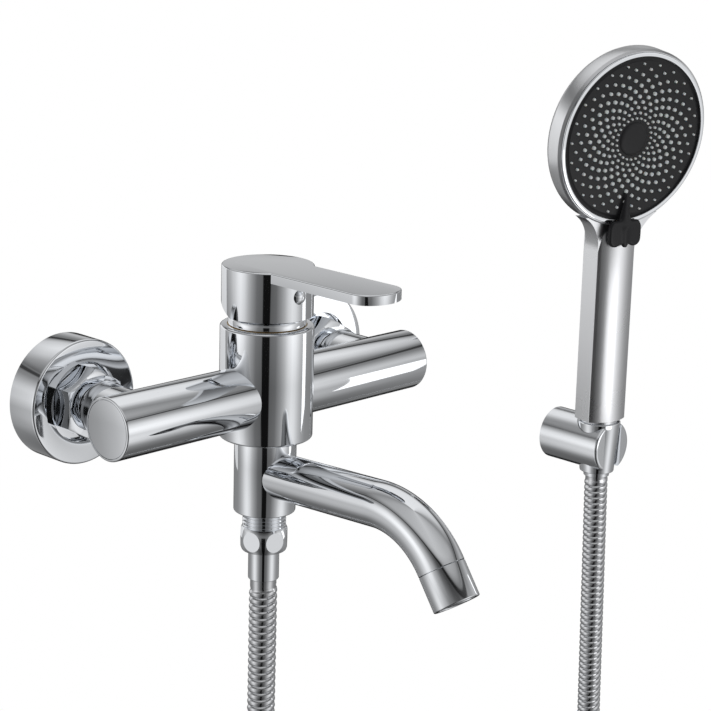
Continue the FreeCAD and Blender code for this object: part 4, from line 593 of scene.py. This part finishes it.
class MIXER_OT_bonnet(bpy.types.Operator):
    """Dome ring under the lever's cap"""
    bl_idname = "mixer.bonnet"
    bl_label = "Bonnet"

    def execute(self, context):
        foot, shoulder, top = 33.1 * MM, 36.0 * MM, 39.6 * MM
        outer, mouth, wall = 18.2 * MM, 11.2 * MM, 1.0 * MM
        bend = ((outer + mouth) / 2 + 1.2 * MM, (shoulder + top) / 2 + 0.8 * MM)
        inner = 16.85 * MM
        outline = [(inner, foot), (outer - 0.3 * MM, foot), (outer, foot + 0.3 * MM), (outer, shoulder)]
        outline += arc_through((outer, shoulder), bend, (mouth, top), 14)
        outline += [(mouth, top - wall)]
        low_bend = (bend[0] - wall, bend[1] - wall)
        outline += arc_through((mouth, top - wall), low_bend, (inner, shoulder - wall / 2), 8)
        dome = turned("dome_ring", outline, UPRIGHT)
        fitted(dome, "polished_chrome", "fixed", "bonnet")
        return {"FINISHED"}


class MIXER_OT_lever(bpy.types.Operator):
    """Lever and the domed cover of its screw"""
    bl_idname = "mixer.lever"
    bl_label = "Lever"

    def execute(self, context):
        lever = copied("lever", "lever_handle")
        fitted(lever, "polished_chrome", "lever", "lever_handle")
        radius, seat, rise = 3.5 * MM, 21.55 * MM, 1.55 * MM
        ball = (radius ** 2 + rise ** 2) / (2 * rise)
        half = math.asin(radius / ball) / 2
        crown = (ball * math.sin(half), seat + rise - ball * (1 - math.cos(half)))
        shank, shank_end = 3.2 * MM, 18.8 * MM
        outline = [(0, shank_end), (shank, shank_end), (shank, seat), (radius, seat)]
        outline += arc_through((radius, seat), crown, (0, seat + rise), 10)
        height = middle_of("screw_cover").z - BODY.z
        stud = turned("screw_stud", outline, along(BODY + UP * height, OUT), 64, closed=False)
        fitted(stud, "polished_chrome", "lever", "screw_cover")
        return {"FINISHED"}


class MIXER_OT_spout(bpy.types.Operator):
    """Sleeve and curved tube of the spout, and its screwed end"""
    bl_idname = "mixer.spout"
    bl_label = "Spout"

    def tube(self, size, radius, overrun=0.0):
        """Straight, bend and straight, extruded and spun from one ring; ends at or past the aerator's seam."""
        root = BODY + UP * size.root
        level = Vector((0, -math.cos(size.rise), math.sin(size.rise)))
        run = size.straight / math.cos(size.rise)
        deselect()
        bpy.ops.mesh.primitive_circle_add(vertices=128, radius=radius, fill_type="NOTHING", location=(0, 0, 0))
        pipe = bpy.context.object
        place(pipe, along(root, level))
        edit(pipe)
        bpy.ops.mesh.extrude_region_move(TRANSFORM_OT_translate={"value": level * run})
        bend_start = root + level * run
        centre = bend_start + Vector((0, -math.sin(size.rise), -math.cos(size.rise))) * size.bend_radius
        bpy.ops.mesh.spin(steps=40, angle=size.fall + size.rise, center=centre, axis=(-1, 0, 0))
        down = Vector((0, -math.cos(size.fall), -math.sin(size.fall)))
        last = size.end_length - size.aerator_length
        bpy.ops.mesh.extrude_region_move(TRANSFORM_OT_translate={"value": down * (last + overrun)})
        bpy.ops.mesh.select_all(action="SELECT")
        bpy.ops.mesh.remove_doubles(threshold=1e-6)
        bpy.ops.mesh.fill_holes(sides=0)
        bpy.ops.object.mode_set(mode="OBJECT")
        close_up(pipe)
        fall_side = Vector((0, -math.sin(size.fall), math.cos(size.fall)))
        seam = centre + fall_side * size.bend_radius + down * last
        return pipe, seam, down

    def execute(self, context):
        size = context.scene.mixer_spout
        bottom, top = size.sleeve_bottom, size.sleeve_top
        sleeve = turned("spout_arm", softened([
            (0, top), (size.sleeve_radius, top, 0.3 * MM), (size.sleeve_radius, bottom, 0.8 * MM), (0, bottom),
        ]), UPRIGHT, 160, closed=False)
        pipe, seam, down = self.tube(size, size.tube_radius)
        combine(sleeve, pipe, "UNION")
        combine(sleeve, self.tube(size, size.tube_radius - size.tube_wall, MM)[0], "DIFFERENCE")
        ring_seat, core_bore, shelf = 13.4 * MM, 11.75 * MM, bottom + 3.6 * MM
        bore = turned("bore", [
            (0, bottom - MM), (ring_seat, bottom - MM), (ring_seat, shelf), (core_bore, shelf),
            (core_bore, top + MM), (0, top + MM),
        ], UPRIGHT, closed=False)
        combine(sleeve, bore, "DIFFERENCE")
        fitted(sleeve, "polished_chrome", "spout", "spout")
        radius, end = size.tube_radius, size.aerator_length
        spigot, mouth, throat = 9.0 * MM, 8.7 * MM, 7.3 * MM
        shoulder = 5.6 * MM
        housing = turned("spout_end", softened([
            (throat, -5 * MM), (spigot, -5 * MM), (spigot, 0.25 * MM), (radius - 0.3 * MM, 0.25 * MM),
            (radius, 0.5 * MM), (radius, end, 0.6 * MM), (mouth, end, 0.5 * MM), (mouth, shoulder), (throat, shoulder),
        ]), along(seam, down))
        fitted(housing, "polished_chrome", "spout", "aerator_housing")
        return {"FINISHED"}


class MIXER_OT_hose_fittings(bpy.types.Operator):
    """Threaded nipple, hose nut, the two ferrules and the tapered nut in the bracket"""
    bl_idname = "mixer.hose_fittings"
    bl_label = "Hose fittings"

    def thread(self, radius, depth, pitch, low, high):
        """Outline points of a row of thread crests, downwards."""
        points = []
        for k in range(int((high - low) / pitch)):
            top = high - k * pitch
            points += [
                (radius - depth, top), (radius, top - 0.35 * pitch), (radius, top - 0.55 * pitch),
                (radius - depth, top - 0.9 * pitch),
            ]
        return points

    def ferrule(self, name, origin, body, node):
        """Crimped sleeve with a flange at its top."""
        bottom, top = heights(node, origin)
        radius = bpy.context.scene.mixer_hose.ferrule_radius
        bore, flange, shelf = 4.0 * MM, 9.4 * MM, top - 1.2 * MM
        piece = turned(name, softened([
            (bore, bottom), (radius, bottom, 0.5 * MM), (radius, shelf), (flange, shelf), (flange, top), (bore, top),
        ]), Matrix.Translation(origin), 96)
        fitted(piece, "polished_chrome", body, node)

    def execute(self, context):
        bottom, top = heights("hose_nipple", BODY)
        flange = heights("glide_ring", BODY)[0]
        bore, spigot, shank, rim, shelf = 5.5 * MM, 8.4 * MM, 11.0 * MM, 13.1 * MM, -53.5 * MM
        outline = [
            (bore, top), (spigot, top), (spigot, shelf), (shank, shelf), (shank, flange), (rim, flange),
            (rim, flange - 2.4 * MM),
        ]
        outline += self.thread(10.4 * MM, 0.9 * MM, 1.8 * MM, bottom, flange - 2.6 * MM)
        outline += [(9.8 * MM, bottom), (bore, bottom)]
        nipple = turned("thread_nipple", outline, UPRIGHT)
        fitted(nipple, "polished_chrome", "fixed", "hose_nipple")
        low, high = heights("hose_nut", Vector())
        flats, barrel, chamfer, bore = 22.0 * MM, 11.9 * MM, 1.4 * MM, 7.7 * MM
        nut = hexagon("hose_hexagon", flats, low, high, Matrix.Translation((BODY.x, BODY.y, 0)), chamfer, bore,
                      math.radians(14.5), body=barrel)
        fitted(nut, "polished_chrome", "fixed", "hose_nut", degrees=12.0)
        self.ferrule("hose_sleeve", BODY, "fixed", "hose_ferrule")
        self.ferrule("cone_sleeve", SOCKET, "hose_end", "cone_ferrule")
        low, high = heights("hose_cone", SOCKET)
        bore, thread, step = 7.5 * MM, 10.45 * MM, 1.2 * MM
        cone = turned("tapered_nut", softened([
            (bore, low), (9.8 * MM, low, 0.6 * MM), (12.3 * MM, high, 0.6 * MM), (thread, high), (thread, step),
            (bore, step),
        ]), HANGING)
        fitted(cone, "polished_chrome", "handset", "hose_cone")
        return {"FINISHED"}


HOSE_ROUTE = [
    (0, -0.058, -0.0855), (0, -0.058, -0.200), (-0.005, -0.058, -0.320), (-0.003, -0.058, -0.428),
    (0.014, -0.057, -0.507), (0.054, -0.054, -0.560), (0.110, -0.050, -0.580), (0.173, -0.044, -0.580),
    (0.229, -0.038, -0.561), (0.272, -0.033, -0.508), (0.293, -0.0315, -0.428), (0.297, -0.0315, -0.320),
    (0.293, -0.0315, -0.208), (0.289, -0.0315, -0.1015),
]


class MIXER_OT_hose(bpy.types.Operator):
    """Strip-wound hose that hangs from the mixer to the hand shower"""
    bl_idname = "mixer.hose"
    bl_label = "Hose"

    def centreline(self):
        """Points of the smooth line through the route."""
        curve = bpy.data.curves.new("hose_line", "CURVE")
        curve.dimensions = "3D"
        curve.resolution_u = 48
        spline = curve.splines.new("NURBS")
        spline.points.add(len(HOSE_ROUTE) - 1)
        for point, place_of in zip(spline.points, HOSE_ROUTE):
            point.co = (*place_of, 1.0)
        spline.order_u = 3
        spline.use_endpoint_u = True
        line = bpy.data.objects.new("hose_line", curve)
        bpy.context.scene.collection.objects.link(line)
        bpy.context.view_layer.update()
        drawn = bpy.data.meshes.new_from_object(line)
        points = [v.co.copy() for v in drawn.vertices]
        bpy.data.meshes.remove(drawn)
        bpy.data.objects.remove(line)
        return points

    def execute(self, context):
        size = context.scene.mixer_hose
        points = self.centreline()
        travelled = [0.0]
        for here, ahead in zip(points, points[1:]):
            travelled.append(travelled[-1] + (ahead - here).length)
        total = travelled[-1]
        ribs = round((total - 2 * size.plain_end) / size.pitch)
        pitch = (total - 2 * size.plain_end) / ribs
        sides = 24
        shape = (0.0, 0.62, 0.93, 1.0, 0.93, 0.62)  # a rib's section, 1 at its crest
        plain = 0.4
        steps = len(shape)
        stations = [(0.0, plain), (size.plain_end * 0.5, plain)]
        for rib in range(ribs):
            stations += [(size.plain_end + (rib + k / steps) * pitch, shape[k]) for k in range(steps)]
        stations += [(total - size.plain_end, plain), (total, plain)]
        vertices = []
        k = 0
        side = Vector((0, 1, 0))
        for distance, height in stations:
            for corner in range(sides):
                shift = pitch * corner / sides if 0.0 < distance < total else 0.0
                where = min(distance + shift, total)
                while k < len(points) - 2 and travelled[k + 1] < where:
                    k += 1
                while k > 0 and travelled[k] > where:
                    k -= 1
                share = (where - travelled[k]) / (travelled[k + 1] - travelled[k])
                centre = points[k].lerp(points[k + 1], share)
                tangent = (points[k + 1] - points[k]).normalized()
                across = (side - tangent * side.dot(tangent)).normalized()
                third = tangent.cross(across)
                turn = 2 * math.pi * corner / sides
                radius = size.radius - size.valley * (1 - height)
                vertices.append(centre + (across * math.cos(turn) + third * math.sin(turn)) * radius)
        rings = len(stations)
        faces = []
        for ring in range(rings - 1):
            for corner in range(sides):
                following = (corner + 1) % sides
                wrap = steps if following == 0 else 0
                low_a, high_a = ring, ring + 1
                low_b, high_b = min(ring + wrap, rings - 1), min(ring + 1 + wrap, rings - 1)
                faces.append((low_a * sides + corner, low_b * sides + following,
                              high_b * sides + following, high_a * sides + corner))
        mesh = bpy.data.meshes.new("shower_hose")
        mesh.from_pydata([tuple(v) for v in vertices], [], faces)
        hose = bpy.data.objects.new("shower_hose", mesh)
        context.scene.collection.objects.link(hose)
        close_up(hose)
        fitted(hose, "hose_metal", None, "hose_tube", 60.0)
        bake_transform(hose)
        return {"FINISHED"}


# pieces of the hand shower and its bracket

def hand_matrix():
    """From the hand shower's own frame to the bracket."""
    size = bpy.context.scene.mixer_hand
    return HANGING @ Matrix.Rotation(size.turn, 4, "Z")


def head_matrix():
    """From the head's own frame, with Z behind the face, to its place."""
    size = bpy.context.scene.mixer_hand
    tilt = Matrix.Translation((0, -size.head_forward, size.head_height)) @ Matrix.Rotation(size.head_tilt, 4, "X")
    return hand_matrix() @ tilt @ Matrix.Rotation(-math.pi / 2, 4, "X")


class MIXER_OT_hand_shower(bpy.types.Operator):
    """Handle and head of the hand shower with the bright ring"""
    bl_idname = "mixer.hand_shower"
    bl_label = "Hand shower"

    def execute(self, context):
        size = context.scene.mixer_hand
        shell = copied("hand_shower", "handset_shell")
        fitted(shell, "plated_plastic", "handset", "handset_shell")
        inner = size.face_radius + 0.1 * MM
        rim = turned("bright_ring", softened([
            (inner, -0.5 * MM, 0.25 * MM), (size.rim_radius, -0.5 * MM, 0.4 * MM), (size.rim_radius, 1.6 * MM),
            (inner, 1.6 * MM),
        ]), head_matrix(), 192)
        fitted(rim, "polished_chrome", "handset", "head_rim")
        return {"FINISHED"}


class MIXER_OT_spray_face(bpy.types.Operator):
    """Black face with its nozzles and middle disc"""
    bl_idname = "mixer.spray_face"
    bl_label = "Spray face"

    rings = 11
    arms = 24
    root = 2.2 * MM  # depth from which the nozzles rise

    def nozzle(self, size):
        """One soft nozzle of unit radius, its tip rounded."""
        deselect()
        rise = size.nozzle_rise + 2.0 * MM
        bpy.ops.mesh.primitive_cone_add(
            vertices=12, radius1=MM, radius2=0.8 * MM, depth=rise, location=(0, 0, self.root - rise / 2),
            rotation=(math.pi, 0, 0), end_fill_type="NGON")
        cone = bpy.context.object
        apply_place(cone)
        lowest = min(v.co.z for v in cone.data.vertices)
        bevel(cone, lambda ends: max(end.z for end in ends) < lowest + 1e-6, 0.3 * MM, 2)
        return cone

    def execute(self, context):
        size = context.scene.mixer_hand
        plate = copied("black_face", "face_plate")
        inner, outer = size.face_radius - size.border, size.face_radius + MM
        front, floor, foot = 0.2 * MM, 0.2 * MM + size.border_drop, size.face_radius - 0.3 * size.border
        slope = turned("slope", [
            (inner, front), (inner, -2 * MM), (outer, -2 * MM), (outer, floor), (foot, floor),
        ], head_matrix(), 192)
        combine(plate, slope, "DIFFERENCE")
        fitted(plate, "black_plastic", "handset", "face_plate")
        edge, hole, back = size.face_radius - 1.4 * MM, 1.7 * MM, 3.6 * MM
        mat = turned("nozzle_field", [(hole, self.root), (edge, self.root), (edge, back), (hole, back)])
        first = self.nozzle(size)
        copies = []
        for ring in range(self.rings):
            share = ring / (self.rings - 1)
            reach = size.first_ring + share * (size.last_ring - size.first_ring)
            radius = size.nozzle_small + (size.nozzle_large - size.nozzle_small) * math.sin(math.pi * share)
            for arm in range(self.arms):
                turn = 2 * math.pi * arm / self.arms + size.twist * ring
                nozzle = bpy.data.objects.new("nozzle", first.data.copy())
                context.scene.collection.objects.link(nozzle)
                nozzle.scale = (radius / MM, radius / MM, 1)
                nozzle.location = (reach * math.cos(turn), -reach * math.sin(turn), 0)
                copies.append(nozzle)
        bpy.data.objects.remove(first)
        deselect()
        for obj in copies + [mat]:
            obj.select_set(True)
        context.view_layer.objects.active = mat
        bpy.ops.object.join()
        place(mat, head_matrix())
        fitted(mat, "grey_silicone", "handset", "nozzle_mat", degrees=40.0)
        radius, top, hollow, roof, back = size.centre_radius, -0.7 * MM, 3.5 * MM, 0.05 * MM, 1.1 * MM
        outline = [(0, top), (radius - 2.6 * MM, top)]
        outline += arc_through(outline[-1], (radius - 1.1 * MM, 0.6 * top), (radius, 0.1 * MM), 6)
        outline += [(radius, back), (hollow, back), (hollow, roof), (0, roof)]
        disc = turned("middle_disc", outline, head_matrix(), 96, closed=False)
        fitted(disc, "black_plastic", "handset", "centre_disc")
        return {"FINISHED"}


class MIXER_OT_selector(bpy.types.Operator):
    """Black two-lobed selector with its fin"""
    bl_idname = "mixer.selector"
    bl_label = "Spray selector"

    def execute(self, context):
        selector = copied("selector_pad", "spray_selector")
        selector.data.remesh_voxel_size = 0.3 * MM
        activate(selector)
        bpy.ops.object.voxel_remesh()
        soften = selector.modifiers.new("soften", "SMOOTH")
        soften.factor = 0.5
        soften.iterations = 120
        bpy.ops.object.modifier_apply(modifier=soften.name)
        fitted(selector, "glossy_black", "selector", "spray_selector", 180.0)
        return {"FINISHED"}


class MIXER_OT_bracket(bpy.types.Operator):
    """Round wall bracket with its slotted socket"""
    bl_idname = "mixer.bracket"
    bl_label = "Bracket"

    def execute(self, context):
        bracket = copied("wall_bracket", "bracket_body")
        fitted(bracket, "soft_chrome", "fixed", "bracket_body")
        return {"FINISHED"}


class MIXER_OT_inner_pieces(bpy.types.Operator):
    """Finishes of the pieces that lie inside"""
    bl_idname = "mixer.inner_pieces"
    bl_label = "Inner pieces"

    def execute(self, context):
        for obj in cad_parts.values():
            for place_in in obj.material_slots:
                place_in.material = finish(place_in.material.name.split(".")[0])
        return {"FINISHED"}


# studio

class MIXER_OT_studio(bpy.types.Operator):
    """Camera, floor, lamps and what the chrome reflects"""
    bl_idname = "mixer.studio"
    bl_label = "Studio"

    def camera(self, context, studio):
        turn, lift = studio.azimuth, studio.elevation
        back = Vector((math.sin(turn) * math.cos(lift), -math.cos(turn) * math.cos(lift), math.sin(lift)))
        right = Vector((math.cos(turn), math.sin(turn), 0))
        up = back.cross(right)
        rolled_right = right * math.cos(studio.roll) + up * math.sin(studio.roll)
        rolled_up = up * math.cos(studio.roll) - right * math.sin(studio.roll)
        scale = studio.distance / studio.focal_pixels
        eye = BODY + back * studio.distance
        eye -= rolled_right * (studio.target_x - PHOTO_SIZE / 2) * scale
        eye += rolled_up * (studio.target_y - PHOTO_SIZE / 2) * scale
        deselect()
        bpy.ops.object.camera_add(location=eye)
        camera = context.object
        camera.rotation_euler = Matrix((rolled_right, rolled_up, back)).transposed().to_euler()
        camera.data.lens = studio.focal_pixels / PHOTO_SIZE * SENSOR_WIDTH
        camera.data.sensor_width = SENSOR_WIDTH
        camera.data.clip_end = 30.0
        context.scene.camera = camera

    def floor(self, context):
        """Pale floor under the part; the camera sees it fade into the white background."""
        deselect()
        bpy.ops.mesh.primitive_plane_add(size=6.0, location=(0.14, 0, CAD_BOX[0][2] - 0.03))
        floor = context.object
        floor.name = "floor"
        material = bpy.data.materials.new("Pale floor")
        material.use_nodes = True
        tree = material.node_tree
        shader = tree.nodes["Principled BSDF"]
        shader.inputs["Base Color"].default_value = (0.9, 0.9, 0.9, 1)
        shader.inputs["Roughness"].default_value = 0.8
        middle = add(tree, "TexCoord").outputs["Object"]
        away = add(tree, "VectorMath", {"operation": "LENGTH"}, Vector=middle).outputs["Value"]
        fade = add(tree, "MapRange", Value=away, From_Min=0.2, From_Max=0.7, To_Min=0.85)
        seen = self.maths(tree, "MULTIPLY", add(tree, "LightPath").outputs["Is Camera Ray"], fade.outputs["Result"])
        white = add(tree, "Emission", Strength=1.0)
        mix = add(tree, "MixShader", Fac=seen)
        feed(tree, mix.inputs[1], shader.outputs["BSDF"])
        feed(tree, mix.inputs[2], white.outputs["Emission"])
        feed(tree, tree.nodes["Material Output"].inputs["Surface"], mix.outputs["Shader"])
        floor.data.materials.append(material)
        floor.visible_glossy = False

    def lamp(self, context, name, at, size, power, towards=BODY, reflected=False):
        deselect()
        bpy.ops.object.light_add(type="AREA", location=at)
        lamp = context.object
        lamp.name = name
        lamp.data.size = size
        lamp.data.energy = power
        lamp.rotation_euler = (Vector(towards) - Vector(at)).to_track_quat("-Z", "Y").to_euler()
        lamp.visible_glossy = reflected
        lamp.visible_camera = False

    def maths(self, tree, operation, first, second=None):
        node = add(tree, "Math", {"operation": operation})
        feed(tree, node.inputs[0], first)
        feed(tree, node.inputs[1], second)
        return node.outputs["Value"]

    def mixed(self, tree, factor, first, second, blend="MIX"):
        """Mix two colours."""
        node = add(tree, "Mix", {"data_type": "RGBA", "blend_type": blend}, Factor=factor)
        for socket, value in zip([s for s in node.inputs if s.type == "RGBA"], (first, second)):
            feed(tree, socket, value)
        return [s for s in node.outputs if s.type == "RGBA"][0]

    def ramp(self, tree, factor, stops, offset=0.0):
        """Grey over an angle, from (degrees, grey) stops; half a turn is the whole ramp."""
        ramp = add(tree, "ValToRGB", Fac=factor)
        elements = ramp.color_ramp.elements
        while len(elements) < len(stops):
            elements.new(0.5)
        for element, (degrees, grey) in zip(elements, stops):
            element.position = degrees / 180 + offset
            element.color = (grey, grey, grey, 1)
        return ramp.outputs["Color"]

    def world(self, context, studio):
        """White for the camera; soft boxes at both sides and above, and dark gaps, for the chrome."""
        world = bpy.data.worlds.new("Studio")
        context.scene.world = world
        world.use_nodes = True
        tree = world.node_tree
        tree.nodes.clear()
        seen_from = add(tree, "Mapping", Vector=add(tree, "TexCoord").outputs["Generated"],
                        Rotation=(0, 0, -studio.azimuth))
        split = add(tree, "SeparateXYZ", Vector=seen_from.outputs["Vector"])
        across, deep, up = split.outputs
        turn = self.maths(tree, "ARCTAN2", across, self.maths(tree, "MULTIPLY", deep, -1.0))
        aside = self.maths(tree, "DIVIDE", self.maths(tree, "ABSOLUTE", turn), math.pi)
        height = self.maths(tree, "ADD", self.maths(tree, "DIVIDE", self.maths(tree, "ARCSINE", up), math.pi), 0.5)

        def step_up(start, end):
            """Rises from 0 to 1 between two heights in degrees."""
            return add(tree, "MapRange", {"interpolation_type": "SMOOTHSTEP"}, Value=height,
                       From_Min=start / 180 + 0.5, From_Max=end / 180 + 0.5).outputs["Result"]

        low = self.ramp(tree, aside, [
            (0, 0.005), (8, 0.005), (10, 0.10), (24, 0.13), (37, 0.27), (46, 0.40), (56, 0.62), (67, 0.76), (76, 0.70),
            (90, 0.46), (101, 0.33), (116, 0.24), (160, 0.21), (166, 0.03), (180, 0.02),
        ])
        high = self.ramp(tree, aside, [
            (0, 0.12), (20, 0.16), (50, 0.45), (75, 0.72), (95, 0.50), (130, 0.38), (180, 0.44),
        ])
        lift = self.ramp(tree, height, [
            (-90, 0.25), (-47, 0.60), (-34, 1.08), (-25, 1.12), (-15, 1.0), (-3, 1.4), (3, 1.4), (13, 1.1), (24, 0.5),
            (27, 0.45), (28, 0.1), (30.5, 0.1), (31.5, 0.5),
        ], 0.5)
        above = self.ramp(tree, height, [(31, 0.25), (36, 0.62), (43, 0.80), (90, 0.85)], 0.5)
        over = self.ramp(tree, aside, [
            (0, 0.7), (80, 0.5), (103, 0.32), (116, 0.48), (127, 0.75), (145, 1.0), (180, 1.0),
        ])
        walls = self.mixed(tree, 1.0, self.mixed(tree, step_up(2, 10), low, high), lift, "MULTIPLY")
        roof = self.mixed(tree, 1.0, above, over, "MULTIPLY")
        reflected = self.mixed(tree, step_up(30.5, 33), walls, roof)
        rays = add(tree, "LightPath").outputs
        shiny = self.maths(tree, "MAXIMUM", rays["Is Glossy Ray"], rays["Is Transmission Ray"])
        lit = self.mixed(tree, shiny, (0.75, 0.75, 0.75, 1.0), reflected)
        seen = self.mixed(tree, rays["Is Camera Ray"], lit, (1.0, 1.0, 1.0, 1.0))
        background = add(tree, "Background", Color=seen)
        feed(tree, add(tree, "OutputWorld").inputs["Surface"], background.outputs["Background"])

    def execute(self, context):
        studio = context.scene.mixer_studio
        context.scene.view_settings.view_transform = "Standard"
        self.camera(context, studio)
        self.floor(context)
        self.lamp(context, "key_lamp", (-1.2, -1.6, 1.4), 1.2, 22.0)
        self.lamp(context, "fill_lamp", (1.6, -1.4, 0.6), 1.2, 9.0)
        self.lamp(context, "side_lamp", (0.05, 0.73, 0.05), 0.6, 0.5, (SOCKET.x, SOCKET.y, 0.05), True)
        self.lamp(context, "hand_lamp", (0.296, -0.240, -0.06), 0.13, 0.05, (SOCKET.x, SOCKET.y, -0.03), True)
        self.world(context, studio)
        return {"FINISHED"}


class MIXER_PT_pieces(bpy.types.Panel):
    """Sizes and the steps that build the looks"""
    bl_label = "Bath mixer"
    bl_space_type = "VIEW_3D"
    bl_region_type = "UI"
    bl_category = "Mixer"

    def draw(self, context):
        for name, group in GROUPS:
            box = self.layout.box()
            box.label(text=group.__doc__)
            for field in group.__annotations__:
                box.prop(getattr(context.scene, name), field)
        for operator in OPERATORS:
            self.layout.operator(operator.bl_idname)


OPERATORS = (
    MIXER_OT_studio, MIXER_OT_hose, MIXER_OT_hose_fittings, MIXER_OT_body, MIXER_OT_wall_connections,
    MIXER_OT_bonnet, MIXER_OT_lever, MIXER_OT_spout, MIXER_OT_hand_shower, MIXER_OT_spray_face, MIXER_OT_selector,
    MIXER_OT_bracket, MIXER_OT_inner_pieces,
)


register_classes, unregister_classes = bpy.utils.register_classes_factory(
    (*(group for _, group in GROUPS), *OPERATORS, MIXER_PT_pieces))


def register():
    register_classes()
    for name, group in GROUPS:
        setattr(bpy.types.Scene, name, bpy.props.PointerProperty(type=group))


def unregister():
    for name, _ in GROUPS:
        delattr(bpy.types.Scene, name)
    unregister_classes()


def main():
    register()
    for operator in OPERATORS:
        getattr(bpy.ops.mixer, operator.bl_idname.split(".")[1])()


if __name__ == "__main__":
    main()
